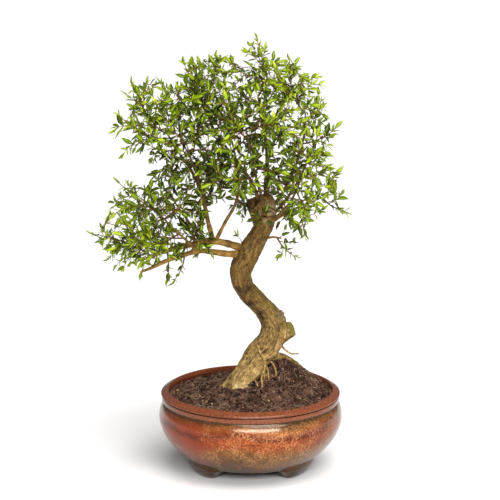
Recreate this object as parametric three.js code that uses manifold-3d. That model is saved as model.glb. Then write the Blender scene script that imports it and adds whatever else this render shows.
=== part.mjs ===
// Pomegranate bonsai in a round glazed pot on three feet.
// Millimetres, +Z up. The tree is laid out round the middle of the pot with the table at z = 0,
// and the finished group is then moved so that its origin is the middle of its box's floor.
import * as THREE from "three";
import { mergeVertices } from "three/addons/utils/BufferGeometryUtils.js";
import Module from "manifold-3d";

const wasm = await Module();
wasm.setup();

// Pot
const bellyRadius = 125;
const bellyHeight = 76;
const lipRadius = 122.6;
const lipEdgeHeight = 106;
const mouthRadius = 112.7;
const mouthHeight = 112.9;
const wallThickness = 8;
const baseRadius = 88;
const baseHeight = 20;
const undersideHeight = 17;
const floorHeight = 26;
const drainRadius = 8;
const potSides = 34;
const footCount = 3;
const footInnerRadius = 54;

// Drain cover and soil
const clearance = 0.3;
const coverRadius = 14;
const coverThickness = 1.2;
const coverHole = 3.4;
const coverPitch = 5.4;
const coverSides = 20;
const soilEdgeHeight = 105.5;
const soilTilt = 0.03;
const moundCentre = new THREE.Vector2(30, 16);
const moundSpread = new THREE.Vector2(50, 42);
const moundRise = 36;
const moundEdge = 110;

// Trunk
const trunkSides = 11;
const trunkSteps = 18;
const limbSides = 5;
const fluteDepth = 0.05;
const socketPlay = 0.4;

// Foliage
const stemThickness = 1.9;
const stemTipThickness = 0.9;
const leafLength = 21;
const leafWidth = 8.6;
const leafThickness = 0.9;
const leafCup = 1;
const tipLeafReach = 16;
const nodeLength = 2;
const leafClearance = 0.45;
const sprayCount = 54;
const randomSeed = 20260;

const worldUp = new THREE.Vector3(0, 0, 1);

// Random draws come from one seeded sequence.
let randomState = randomSeed;
function random() {
  randomState = (Math.imul(randomState, 1664525) + 1013904223) >>> 0;
  return randomState / 4294967296;
}

function vector(place) {
  return new THREE.Vector3(place[0], place[1], place[2]);
}

// A closed geometry becomes a solid once its shared corners are merged and the triangles that
// this leaves without area are dropped.
function solidFrom(geometry) {
  const bare = geometry.clone();
  bare.deleteAttribute("normal");
  bare.deleteAttribute("uv");
  const merged = mergeVertices(bare, 1e-4);
  const corners = merged.index.array;
  const triangles = [];
  for (let i = 0; i < corners.length; i += 3) {
    const [a, b, c] = corners.slice(i, i + 3);
    if (a !== b && b !== c && c !== a) {
      triangles.push(a, b, c);
    }
  }
  return new wasm.Manifold(new wasm.Mesh({
    numProp: 3,
    vertProperties: new Float32Array(merged.attributes.position.array),
    triVerts: new Uint32Array(triangles),
  }));
}

function geometryFrom(solid) {
  const mesh = solid.getMesh();
  const geometry = new THREE.BufferGeometry();
  geometry.setAttribute("position", new THREE.BufferAttribute(new Float32Array(mesh.vertProperties), 3));
  geometry.setIndex(new THREE.BufferAttribute(new Uint32Array(mesh.triVerts), 1));
  geometry.computeVertexNormals();
  return geometry;
}

function fuse(solids) {
  return solids.reduce((sum, next) => sum.add(next));
}

// Only the largest body of a solid is kept.
function largestBody(solid) {
  const bodies = solid.decompose();
  return bodies.reduce((best, next) => (next.volume() > best.volume() ? next : best));
}

const bonsai = new THREE.Group();

function addPiece(name, solid, material) {
  const mesh = new THREE.Mesh(geometryFrom(solid), material);
  mesh.name = name;
  bonsai.add(mesh);
}

// A bar with a round section is carried along a curve. Its radius is given by a function of the
// share of the length, and its section is drawn by a second function of the angle and that share.
function bentBar(curve, radiusAt, sides, steps, sectionAt = () => 1) {
  const bar = new THREE.CylinderGeometry(1, 1, 1, sides, steps);
  const frames = curve.computeFrenetFrames(steps);
  const places = bar.attributes.position;
  const point = new THREE.Vector3();
  for (let i = 0; i < places.count; i += 1) {
    const step = Math.round((places.getY(i) + 0.5) * steps);
    const share = step / steps;
    const x = places.getX(i);
    const z = places.getZ(i);
    const reach = radiusAt(share) * sectionAt(Math.atan2(z, x), share);
    curve.getPointAt(share, point);
    point.addScaledVector(frames.normals[step], z * reach);
    point.addScaledVector(frames.binormals[step], x * reach);
    places.setXYZ(i, point.x, point.y, point.z);
  }
  return bar;
}

// A list of [share, value] pairs is read as a line that runs through them.
function profileOf(pairs) {
  return (share) => {
    const last = pairs.length - 1;
    const next = Math.max(1, pairs.findIndex((pair, i) => i === last || pair[0] >= share));
    const [startShare, startValue] = pairs[next - 1];
    const [endShare, endValue] = pairs[next];
    return THREE.MathUtils.mapLinear(share, startShare, endShare, startValue, endValue);
  };
}

function smoothCurve(places) {
  return new THREE.CatmullRomCurve3(places.map(vector), false, "centripetal");
}

// The inner wall of the pot, from the floor up to the lip. The soil follows it one clearance off.
const innerWall = [
  new THREE.Vector2(80, floorHeight),
  new THREE.Vector2(94, 34),
  new THREE.Vector2(109, 52),
  new THREE.Vector2(bellyRadius - wallThickness, bellyHeight),
  new THREE.Vector2(mouthRadius - 0.6, 100),
];

// Pot: one outline from the drain hole round the belly and over the lip, and back down inside.
function potOutline() {
  const belly = new THREE.SplineCurve([
    new THREE.Vector2(baseRadius, baseHeight),
    new THREE.Vector2(98, 28),
    new THREE.Vector2(109.5, 39.5),
    new THREE.Vector2(119, 53.5),
    new THREE.Vector2(bellyRadius, bellyHeight),
    new THREE.Vector2(121.4, 92),
    new THREE.Vector2(118.2, 96.6),
  ]);
  return [
    new THREE.Vector2(drainRadius, undersideHeight),
    new THREE.Vector2(baseRadius - 4, undersideHeight),
    ...belly.getPoints(7),
    new THREE.Vector2(121.3, 98.2),
    new THREE.Vector2(121.3, 103.8),
    new THREE.Vector2(lipRadius, lipEdgeHeight - 1),
    new THREE.Vector2(lipRadius - 0.8, lipEdgeHeight + 1.8),
    new THREE.Vector2(mouthRadius, mouthHeight),
    ...innerWall.toReversed(),
    new THREE.Vector2(drainRadius, floorHeight),
    new THREE.Vector2(drainRadius, undersideHeight),
  ];
}

// A foot is a block bent round the pot's axis. It widens towards the pot with a concave side.
const footLevels = [
  { height: 0, reach: 74, halfAngle: 17 },
  { height: 2.5, reach: 79, halfAngle: 19 },
  { height: 7, reach: 83, halfAngle: 22 },
  { height: 14, reach: 87, halfAngle: 29 },
  { height: 21, reach: 88, halfAngle: 33 },
];

function foot(centreAngle) {
  const lastLevel = footLevels.length - 1;
  const block = new THREE.BoxGeometry(1, 1, 1, 4, 1, lastLevel);
  const places = block.attributes.position;
  for (let i = 0; i < places.count; i += 1) {
    const level = footLevels[Math.round((places.getZ(i) + 0.5) * lastLevel)];
    const angle = centreAngle - THREE.MathUtils.degToRad(2 * places.getX(i) * level.halfAngle);
    const radius = THREE.MathUtils.lerp(footInnerRadius, level.reach, places.getY(i) + 0.5);
    places.setXYZ(i, radius * Math.cos(angle), radius * Math.sin(angle), level.height);
  }
  return block;
}

function lathed(outline, sides) {
  return new THREE.LatheGeometry(outline, sides).rotateX(Math.PI / 2);
}

const backAngle = Math.PI / 2;
const feet = Array.from({ length: footCount }, (_, i) => foot(backAngle + (i * 2 * Math.PI) / footCount));
const potSolid = fuse([lathed(potOutline(), potSides), ...feet].map(solidFrom));
const glazedClay = new THREE.MeshStandardMaterial({ color: 0x9a5030, roughness: 0.28, metalness: 0 });
addPiece("pot", potSolid, glazedClay);

// Drain cover: a disc of plastic mesh that lies on the floor of the pot over the drain hole.
function drainCover() {
  const middleHeight = floorHeight + clearance + coverThickness / 2;
  const disc = new THREE.CylinderGeometry(coverRadius, coverRadius, coverThickness, coverSides);
  let cover = solidFrom(disc.rotateX(Math.PI / 2).translate(0, 0, middleHeight));
  for (let column = -1; column <= 1; column += 1) {
    for (let row = -1; row <= 1; row += 1) {
      const hole = new THREE.BoxGeometry(coverHole, coverHole, 2 * coverThickness);
      hole.translate(column * coverPitch, row * coverPitch, middleHeight);
      cover = cover.subtract(solidFrom(hole));
    }
  }
  return cover;
}

const coverPlastic = new THREE.MeshStandardMaterial({ color: 0x20242a, roughness: 0.6, metalness: 0 });
addPiece("drain_cover", drainCover(), coverPlastic);

// Soil: it fills the pot to just under the lip and is heaped up round the trunk.
function soilHeight(x, y) {
  const away = new THREE.Vector2(x, y).sub(moundCentre).divide(moundSpread);
  const levelOff = 1 - (Math.hypot(x, y) / moundEdge) ** 6;
  const heap = moundRise * Math.exp(-away.lengthSq() / 2) * levelOff;
  const clods = 1.1 * Math.sin(x * 0.21 + 1) * Math.cos(y * 0.24) + 0.7 * Math.sin(x * 0.37 - y * 0.31);
  return soilEdgeHeight + soilTilt * x + heap + clods;
}

function soilBody() {
  const recessHeight = floorHeight + 2 * clearance + coverThickness;
  const recessRadius = coverRadius + clearance;
  const topRings = [96, 72, 48, 24];
  const topMark = 150;
  const outline = [
    new THREE.Vector2(0, recessHeight),
    new THREE.Vector2(recessRadius, recessHeight),
    new THREE.Vector2(recessRadius, floorHeight + clearance),
    ...innerWall.map((point) => new THREE.Vector2(point.x - 1.4 * clearance, point.y + clearance)),
    new THREE.Vector2(mouthRadius - 1.2, topMark),
    ...topRings.map((radius) => new THREE.Vector2(radius, topMark)),
    new THREE.Vector2(0, topMark),
  ];
  const body = lathed(outline, potSides);
  const places = body.attributes.position;
  for (let i = 0; i < places.count; i += 1) {
    if (places.getZ(i) === topMark) {
      places.setZ(i, soilHeight(places.getX(i), places.getY(i)));
    }
  }
  return body;
}

// Trunk: the middle line from the root ball to the pruned top, with the radius at each point.
const trunkLine = [
  { at: [-18, -9, 92], radius: 18 },
  { at: [-8, -6, 131], radius: 17 },
  { at: [4, -1, 147], radius: 17.5 },
  { at: [15, 4, 162], radius: 18 },
  { at: [30, 8, 181], radius: 17.5 },
  { at: [32, 8, 201], radius: 17 },
  { at: [20, 5, 222], radius: 14 },
  { at: [4, 0, 240], radius: 13.6 },
  { at: [-10, -4, 259], radius: 14 },
  { at: [-14, -6, 276], radius: 14.4 },
  { at: [-9, -5, 293], radius: 15.6 },
  { at: [0, -2, 310], radius: 15 },
  { at: [11, 2, 328], radius: 13.4 },
  { at: [19, 5, 345], radius: 12.6 },
  { at: [21, 6, 360], radius: 12 },
  { at: [20, 6, 371], radius: 7 },
];

// Roots and stubs leave the trunk, each with its first and last radius.
const rootLines = [
  {
    name: "left root",
    line: [[-6, -4, 140], [-16, -1, 132], [-26, 3, 122], [-38, 8, 106]],
    radii: [13, 3.5],
  },
  {
    name: "front root",
    line: [[-4, -6, 134], [-8, -12, 127], [-11, -18, 120], [-14, -26, 104]],
    radii: [14, 4],
  },
  {
    name: "right root",
    line: [[20, 12, 154], [42, 22, 146], [66, 32, 131], [84, 42, 108]],
    radii: [10, 2.2],
  },
  {
    name: "back root",
    line: [[10, 10, 142], [18, 32, 128], [20, 52, 112], [18, 66, 98]],
    radii: [14, 2.5],
  },
  {
    name: "back left root",
    line: [[0, 4, 138], [-14, 22, 124], [-28, 38, 110], [-38, 50, 96]],
    radii: [12, 2.5],
  },
  {
    name: "right front root",
    line: [[16, 0, 152], [19, -7, 143], [20, -13, 134], [22, -22, 112]],
    radii: [6, 2],
  },
  {
    name: "thin root",
    line: [[14, -12, 163], [17, -18, 151], [16, -25, 137], [14, -38, 121], [13, -48, 108]],
    radii: [2.2, 1.4],
  },
];

const stubLines = [
  {
    name: "low stub",
    line: [[24, 9, 174], [40, 7, 187], [57, 3, 196]],
    radii: [17, 10.5],
  },
  {
    name: "hollow stub",
    line: [[17, 5, 344], [10, 2, 362], [4, -2, 376]],
    radii: [13, 12],
  },
  {
    name: "bare twig",
    line: [[38, 9, 178], [47, 6, 166], [56, 3, 161], [66, 0, 162]],
    radii: [2, 0.9],
  },
];

const burr = { at: [41, 5, 216], radius: 6.5 };
const hollow = { at: [2, -4, 379], radius: 8.8 };

// Limbs carry the leafy sprays. The first two run side by side to the left.
const limbLines = [
  {
    name: "left limb",
    line: [
      [-12, -3, 312], [-31, -6, 319], [-51, -8, 323], [-77, -6, 318], [-98, -4, 313],
      [-118, -1, 306], [-136, 3, 298], [-150, 8, 291],
    ],
    radii: [4.6, 1.3],
    hasBareEnd: true,
  },
  {
    name: "lower left limb",
    line: [
      [-14, -6, 304], [-33, -14, 307], [-51, -16, 310], [-68, -14, 311],
      [-96, -13, 303], [-118, -13, 295], [-134, -13, 287], [-149, -13, 281],
    ],
    radii: [4, 1.7],
    hasBareEnd: true,
  },
  {
    name: "rising limb",
    line: [
      [-50, -8, 321], [-58, -6, 352], [-64, -2, 382], [-78, 2, 415], [-98, 4, 446],
      [-112, 2, 470],
    ],
    radii: [3.4, 1.4],
  },
  {
    name: "slanting limb",
    line: [
      [-48, -8, 322], [-34, -4, 349], [-20, 2, 374], [-16, 12, 404], [-22, 26, 440],
      [-30, 38, 470],
    ],
    radii: [2.6, 1.2],
  },
  {
    name: "leader",
    line: [[22, 6, 362], [24, 8, 400], [22, 8, 440], [16, 10, 480], [10, 8, 520]],
    radii: [3, 1.2],
  },
  {
    name: "upper left limb",
    line: [[14, 4, 366], [4, 2, 398], [-20, -6, 436], [-46, -10, 474], [-64, -8, 512]],
    radii: [3, 1.2],
  },
  {
    name: "upper right limb",
    line: [[25, 6, 360], [46, 4, 392], [62, -2, 430], [72, -4, 470], [74, -4, 500]],
    radii: [2.8, 1.2],
  },
  {
    name: "right limb",
    line: [[28, 6, 345], [50, 4, 360], [74, 2, 372], [96, -2, 382]],
    radii: [2.4, 1.2],
  },
  {
    name: "low right shoot",
    line: [[16, 4, 322], [30, 2, 326], [42, 0, 325]],
    radii: [1.8, 1.1],
  },
  {
    name: "back limb",
    line: [[20, 14, 356], [20, 36, 384], [22, 54, 420], [20, 66, 456], [14, 70, 490]],
    radii: [3, 1.2],
  },
  {
    name: "back right limb",
    line: [[28, 10, 352], [50, 30, 374], [70, 44, 404], [82, 50, 436]],
    radii: [2.6, 1.2],
  },
  {
    name: "front limb",
    line: [[20, -4, 356], [16, -26, 384], [8, -46, 420], [0, -58, 458], [-6, -62, 492]],
    radii: [2.8, 1.2],
  },
  {
    name: "front right limb",
    line: [[28, -2, 350], [46, -26, 372], [62, -44, 404], [72, -50, 436]],
    radii: [2.4, 1.2],
  },
  {
    name: "back left limb",
    line: [[-66, -6, 320], [-80, 16, 338], [-96, 34, 356], [-112, 44, 378]],
    radii: [2.2, 1.1],
  },
  {
    name: "front left limb",
    line: [[-70, -14, 310], [-86, -32, 330], [-104, -44, 350], [-122, -48, 372]],
    radii: [2.2, 1.1],
  },
  {
    name: "left back rise",
    line: [[-60, -5, 364], [-66, 18, 392], [-80, 36, 424], [-96, 44, 456]],
    radii: [2.2, 1.1],
  },
  {
    name: "left front rise",
    line: [[-66, -3, 386], [-70, -24, 412], [-78, -42, 440], [-86, -50, 470]],
    radii: [2.2, 1.1],
  },
];

const limbs = limbLines.map((limb) => ({ ...limb, curve: smoothCurve(limb.line) }));

function taperedBar({ line, radii }, sides, steps, grow) {
  const curve = smoothCurve(line);
  return bentBar(curve, (share) => THREE.MathUtils.lerp(radii[0], radii[1], share) + grow, sides, steps);
}

// The lower trunk and the roots are made a second time, a little thicker, as the hole in the soil.
function trunkBar(grow) {
  const curve = smoothCurve(trunkLine.map((point) => point.at));
  const lengths = curve.getLengths(400);
  const shares = trunkLine.map((_, i) => {
    const parameter = i / (trunkLine.length - 1);
    return lengths[Math.round(parameter * 400)] / lengths[400];
  });
  const radiusAt = profileOf(trunkLine.map((point, i) => [shares[i], point.radius + grow]));
  const flutes = (angle, share) => (
    1 + fluteDepth * (Math.sin(3 * angle + 7 * share) + 0.6 * Math.sin(5 * angle - 4))
  );
  return bentBar(curve, radiusAt, trunkSides, trunkSteps, flutes);
}

function rootedTrunk(grow) {
  const roots = rootLines.map((root) => taperedBar(root, root.radii[0] > 5 ? 7 : 5, 4, grow));
  return fuse([trunkBar(grow), ...roots].map(solidFrom));
}

function wholeTrunk() {
  const stubs = stubLines.map((stub) => taperedBar(stub, stub.radii[0] > 5 ? 10 : 5, 3, 0));
  const branches = limbs.map((limb) => taperedBar(limb, limbSides, limb.line.length - 1, 0));
  const knot = new THREE.IcosahedronGeometry(burr.radius, 0).translate(...burr.at);
  const pit = new THREE.IcosahedronGeometry(hollow.radius, 1).translate(...hollow.at);
  return fuse([rootedTrunk(0), ...[...stubs, ...branches, knot].map(solidFrom)]).subtract(solidFrom(pit));
}

const trunkSolid = largestBody(wholeTrunk());
const bark = new THREE.MeshStandardMaterial({ color: 0x8a6a3a, roughness: 0.85, metalness: 0 });
addPiece("trunk", trunkSolid, bark);

const soilSolid = largestBody(solidFrom(soilBody()).subtract(rootedTrunk(socketPlay)));
const pottingSoil = new THREE.MeshStandardMaterial({ color: 0x553c2e, roughness: 0.95, metalness: 0 });
addPiece("soil", soilSolid, pottingSoil);

// Sprays: the tips that draw the crown's outline are chosen by hand, and the others are spread
// as far apart as they go over the rounded lobes that make up the crown.
const outlineTips = [
  [6, 0, 599], [-51, 24, 578], [-92, -14, 574], [-158, -8, 544], [-182, -2, 494], [57, -5, 576],
  [96, 14, 526], [117, -6, 476], [132, 0, 388], [92, -12, 350], [-180, -10, 408], [-214, -4, 334],
  [-196, 6, 302], [62, 0, 324],
];

const lobes = [
  { at: [-116, 0, 496], half: [50, 80, 46] },
  { at: [-48, 4, 526], half: [54, 92, 52] },
  { at: [38, 4, 503], half: [66, 100, 71] },
  { at: [-30, 2, 442], half: [82, 102, 60] },
  { at: [64, 0, 404], half: [56, 84, 52] },
  { at: [-138, 0, 340], half: [70, 68, 56] },
  { at: [-84, 0, 386], half: [56, 70, 52] },
];
const tipsOnLobe = 60;
const goldenAngle = Math.PI * (3 - Math.sqrt(5));

function insideLobe(point, lobe, share) {
  const x = (point.x - lobe.at[0]) / lobe.half[0];
  const y = (point.y - lobe.at[1]) / lobe.half[1];
  const z = (point.z - lobe.at[2]) / lobe.half[2];
  return x * x + y * y + z * z < share * share;
}

// The open window left of the trunk top shows no leaves at any depth.
function inWindow(point) {
  const level = point.z + 0.26 * point.y;
  return point.x > -62 && point.x < 12 && level > 300 && level < 392;
}

function tipsAtDepth(depth) {
  const tips = [];
  lobes.forEach((lobe, index) => {
    for (let i = 0; i < tipsOnLobe; i += 1) {
      const lift = 1 - (2 * (i + 0.5)) / tipsOnLobe;
      const ring = Math.sqrt(1 - lift * lift);
      const turn = i * goldenAngle;
      const tip = new THREE.Vector3(
        lobe.at[0] + depth * lobe.half[0] * ring * Math.cos(turn),
        lobe.at[1] + depth * lobe.half[1] * ring * Math.sin(turn),
        lobe.at[2] + depth * lobe.half[2] * lift,
      );
      const hidden = lobes.some((other, j) => j !== index && insideLobe(tip, other, 0.96 * depth));
      if (!hidden && !inWindow(tip)) {
        tips.push(tip);
      }
    }
  });
  return tips;
}

function spreadTips() {
  const chosen = outlineTips.map(vector);
  const open = [...tipsAtDepth(1), ...tipsAtDepth(0.5)];
  while (chosen.length < sprayCount) {
    const room = open.map((tip) => Math.min(...chosen.map((other) => other.distanceTo(tip))));
    chosen.push(open[room.indexOf(Math.max(...room))]);
  }
  return chosen;
}

// Each spray starts on the limb that points at its tip and is near it, clear of the other starts.
const startSteps = 24;
const firstStart = 0.16;
const bareEndStart = 0.9;
const startSpacing = 9;
const leastReach = 26;
const bendCost = 34;
const endBonus = 8;

function limbStarts() {
  return limbs.flatMap((limb) => {
    const shares = Array.from({ length: startSteps + 1 }, (_, i) => i / startSteps);
    const lastStart = limb.hasBareEnd ? bareEndStart : 1;
    return shares.filter((share) => share > firstStart && share <= lastStart).map((share) => ({
      at: limb.curve.getPointAt(share),
      along: limb.curve.getTangentAt(share),
      radius: THREE.MathUtils.lerp(limb.radii[0], limb.radii[1], share),
      isEnd: share === 1,
    }));
  });
}

function rankedStarts(tip, starts, taken) {
  const open = starts.filter((start) => (
    start.at.distanceTo(tip) > leastReach
    && taken.every((other) => other.at.distanceTo(start.at) > startSpacing)
  ));
  const cost = (start) => {
    const way = tip.clone().sub(start.at);
    const distance = way.length();
    return distance + bendCost * (1 - way.normalize().dot(start.along)) - (start.isEnd ? endBonus : 0);
  };
  return open.sort((one, other) => cost(one) - cost(other));
}

// A stem leaves its limb square to it, or straight on from the limb's end, and bends to its tip.
function stemCurve(start, tip, slide, bow) {
  const way = tip.clone().sub(start.at);
  way.setLength(way.length() - tipLeafReach);
  const end = start.at.clone().add(way);
  const length = way.length();
  const lead = start.isEnd
    ? start.along.clone()
    : end.clone().sub(start.at).addScaledVector(start.along, -way.dot(start.along)).normalize();
  const seat = clearance + slide + (start.isEnd ? 0 : start.radius);
  const root = start.at.clone().addScaledVector(lead, seat);
  const sideways = way.clone().cross(worldUp).normalize();
  const middle = root.clone().addScaledVector(lead, 0.22 * length).addScaledVector(way, 0.25);
  middle.addScaledVector(sideways, bow * length);
  middle.z += 0.03 * length;
  return new THREE.QuadraticBezierCurve3(root, middle, end);
}

// A spray is one closed skin. It starts as a square stem, and each twig and leaf is drawn out of
// one of the stem's side faces, whose corners are then the foot of the new growth.
function addCorner(skin, point) {
  skin.places.push(point.x, point.y, point.z);
  return skin.places.length / 3 - 1;
}

function cornerAt(skin, corner) {
  return new THREE.Vector3().fromArray(skin.places, 3 * corner);
}

function addFace(skin, [a, b, c, d]) {
  skin.corners.push(a, b, c, a, c, d);
}

function centreOf(skin, face) {
  const sum = new THREE.Vector3();
  face.forEach((corner) => sum.add(cornerAt(skin, corner)));
  return sum.divideScalar(face.length);
}

// Four corners round a point of the stem. The first one lies towards the lead direction.
function addRing(skin, centre, tangent, lead, radius) {
  const first = lead.clone().addScaledVector(tangent, -lead.dot(tangent)).normalize();
  const second = tangent.clone().cross(first);
  const turns = [[1, 0], [0, 1], [-1, 0], [0, -1]];
  return turns.map(([u, v]) => addCorner(
    skin,
    centre.clone().addScaledVector(first, u * radius).addScaledVector(second, v * radius),
  ));
}

// The stem is drawn along its curve from a foot of four corners. At each node a short length is
// left with its four side faces open, as buds that leaves and twigs are drawn from.
function growStem(skin, foot, curve, nodes, radiusAt) {
  const length = curve.getLength();
  const stations = nodes.flatMap((node) => [node - nodeLength / 2 / length, node + nodeLength / 2 / length]);
  const buds = [];
  let ring = foot;
  [...stations, 1].forEach((share, i) => {
    const centre = curve.getPointAt(share);
    const lead = cornerAt(skin, ring[0]).sub(centreOf(skin, ring));
    const next = addRing(skin, centre, curve.getTangentAt(share), lead, radiusAt(share));
    const faces = [0, 1, 2, 3].map((k) => [ring[k], ring[(k + 1) % 4], next[(k + 1) % 4], next[k]]);
    if (i % 2 === 1 && i < stations.length) {
      buds.push(faces);
    } else {
      faces.forEach((face) => addFace(skin, face));
    }
    ring = next;
  });
  return { buds, tip: ring };
}

// Leaf: a pointed blade with two raised corners on each edge and one ridge corner over its keel.
function growLeaf(skin, foot, direction, upward, size) {
  const along = direction.clone().normalize();
  const across = upward.clone().cross(along).normalize();
  const normal = along.clone().cross(across);
  const root = centreOf(skin, foot);
  const corner = (share, side, lift) => addCorner(
    skin,
    root.clone()
      .addScaledVector(along, share * leafLength * size)
      .addScaledVector(across, side * leafWidth * size)
      .addScaledVector(normal, lift),
  );
  const reach = foot.map((index) => {
    const away = cornerAt(skin, index).sub(root);
    return away.dot(normal) + away.dot(across);
  });
  const start = reach.indexOf(Math.max(...reach));
  const [topRight, topLeft, lowLeft, lowRight] = [0, 1, 2, 3].map((i) => foot[(start + i) % 4]);
  const [right1, left1] = [0.5, -0.5].map((side) => corner(0.36, side * 0.92, leafCup));
  const [right2, left2] = [0.5, -0.5].map((side) => corner(0.68, side * 0.86, leafCup));
  const tip = corner(1, 0, 0);
  const ridge = corner(0.52, 0, leafThickness);
  const rim = [topRight, topLeft, left1, left2, tip, right2, right1];
  rim.forEach((from, i) => skin.corners.push(ridge, from, rim[(i + 1) % rim.length]));
  skin.corners.push(topLeft, lowLeft, left1, lowRight, topRight, right1);
  skin.corners.push(tip, left2, left1, tip, left1, lowLeft, tip, lowLeft, lowRight);
  skin.corners.push(tip, lowRight, right1, tip, right1, right2);
}

function skinGeometry(skin) {
  const geometry = new THREE.BufferGeometry();
  geometry.setAttribute("position", new THREE.BufferAttribute(new Float32Array(skin.places), 3));
  geometry.setIndex(skin.corners);
  return geometry;
}

// One blade closed at its foot, to measure how far it lies from everything else.
function loneLeaf(skin, foot, direction, upward, size) {
  const copy = { places: foot.flatMap((corner) => cornerAt(skin, corner).toArray()), corners: [] };
  addFace(copy, [3, 2, 1, 0]);
  growLeaf(copy, [0, 1, 2, 3], direction, upward, size);
  return solidFrom(skinGeometry(copy));
}

// What is already placed is kept with its box, so that a new blade can be tested against it.
const placed = [];

function place(solid, spray, bar) {
  const box = solid.boundingBox();
  placed.push({ solid, spray, bar, min: box.min, max: box.max });
}

// Growth on the same bar is passed over, and with no bar given all growth of the same spray.
function isClear(solid, spray, bar, gap = leafClearance) {
  const box = solid.boundingBox();
  return placed.every((other) => {
    if (other.spray === spray && (bar === null || other.bar === bar)) {
      return true;
    }
    const apart = [0, 1, 2].some(
      (i) => box.min[i] > other.max[i] + gap || other.min[i] > box.max[i] + gap,
    );
    return apart || solid.minGap(other.solid, gap) >= gap * 0.99;
  });
}

place(trunkSolid, -1, -1);

const stemRadius = (share) => THREE.MathUtils.lerp(stemThickness, stemTipThickness, share) / 2;
const twigRadius = (share) => THREE.MathUtils.lerp(0.75 * stemThickness, stemTipThickness, share) / 2;

// The stem slides along its first direction until it sits one clearance off the limb. Where it
// would meet another stem or limb on its way, it bows to one side or takes the next start.
const bows = [0, 0.14, -0.14, 0.28, -0.28];
const startTries = 12;

function seatedStem(start, tip, index) {
  for (const bow of bows) {
    let slide = 0;
    for (let round = 0; round < 4; round += 1) {
      const trial = solidFrom(bentBar(stemCurve(start, tip, slide, bow), stemRadius, 4, 6));
      const gap = trial.minGap(trunkSolid, 4);
      slide += gap > 0 ? clearance - gap : clearance;
    }
    const curve = stemCurve(start, tip, slide, bow);
    const solid = solidFrom(bentBar(curve, stemRadius, 4, 6));
    if (isClear(solid, index, 0, 0.8 * clearance) && solid.minGap(trunkSolid, 4) < 2 * clearance) {
      place(solid, index, 0);
      return curve;
    }
  }
  return null;
}

const starts = limbStarts();
const takenStarts = [];
const sprays = spreadTips().map((tip, index) => {
  for (const start of rankedStarts(tip, starts, takenStarts).slice(0, startTries)) {
    const curve = seatedStem(start, tip, index);
    if (curve) {
      takenStarts.push(start);
      return { index, curve };
    }
  }
  throw new Error(`no room for the stem to ${tip.toArray()}`);
});

// A stem carries whorls of leaves from its tip inwards, and two twigs with a whorl at their tips.
const whorlDistances = [4, 31, 60];
const forkDistance = 46;
const bareLength = 14;
const twigLengths = { least: 20, most: 34 };
const twigSpread = 0.95;
const leafSpread = 1.05;
const crownCentre = new THREE.Vector3(-30, 0, 430);

function twigCurve(root, tangent, side, length) {
  const way = tangent.clone().multiplyScalar(Math.cos(twigSpread));
  way.addScaledVector(side, Math.sin(twigSpread));
  const middle = root.clone().addScaledVector(way, 0.5 * length);
  const end = middle.clone().addScaledVector(way.lerp(worldUp, 0.16).normalize(), 0.5 * length);
  return new THREE.QuadraticBezierCurve3(root, middle, end);
}

// A blade that would touch another one is swung further round, and left out if nothing fits.
const swings = [
  [0, 0], [0.4, 0], [-0.4, 0], [0, 0.35], [0, -0.35], [0.4, 0.35], [-0.4, -0.35], [0.8, 0], [-0.8, 0],
];

function tryLeaf(spray, bar, face, tangent, side, spread) {
  const size = 0.86 + 0.28 * random();
  const turn = 0.3 * (random() - 0.5);
  const fitting = swings.some(([swing, open]) => {
    const lean = Math.max(0, spread + (spread > 0 ? open : 0));
    const out = side.clone().applyAxisAngle(tangent, spread > 0 ? swing + turn : 0);
    const direction = tangent.clone().multiplyScalar(Math.cos(lean)).addScaledVector(out, Math.sin(lean));
    direction.z += 0.1;
    const upward = centreOf(spray.skin, face).sub(crownCentre).normalize().add(worldUp);
    upward.addScaledVector(tangent, 0.5 * Math.sin(spread));
    upward.applyAxisAngle(tangent, spread > 0 ? 0 : swing * 2);
    const lone = loneLeaf(spray.skin, face, direction, upward, size);
    if (!isClear(lone, spray.index, bar)) {
      return false;
    }
    place(lone, spray.index, bar);
    growLeaf(spray.skin, face, direction, upward, size);
    return true;
  });
  if (!fitting) {
    addFace(spray.skin, face);
  }
}

function tryTwig(spray, bar, face, tangent, side, length) {
  const root = centreOf(spray.skin, face);
  const curve = twigCurve(root, tangent, side, length);
  const solid = solidFrom(bentBar(curve, twigRadius, 4, 3));
  if (!isClear(solid, spray.index, null)) {
    return null;
  }
  place(solid, spray.index, bar);
  const share = 1 - whorlDistances[0] / length;
  const { buds, tip } = growStem(spray.skin, face, curve, [share], twigRadius);
  return { curve, tip, whorls: [{ share, faces: buds[0] }] };
}

function sideOf(skin, face, curve, node) {
  return centreOf(skin, face).sub(curve.getPointAt(node)).normalize();
}

// Shares of the stem at which it has leaves, and the share at which it forks, from root to tip.
function stemNodes(length) {
  const whorls = whorlDistances.filter((distance) => length - distance > bareLength);
  const fork = Math.min(forkDistance, 0.72 * length);
  const nodes = whorls.filter((distance) => Math.abs(distance - fork) > 5);
  return [...nodes, fork].sort((a, b) => b - a).map((distance) => ({
    share: 1 - distance / length,
    isFork: distance === fork,
  }));
}

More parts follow.
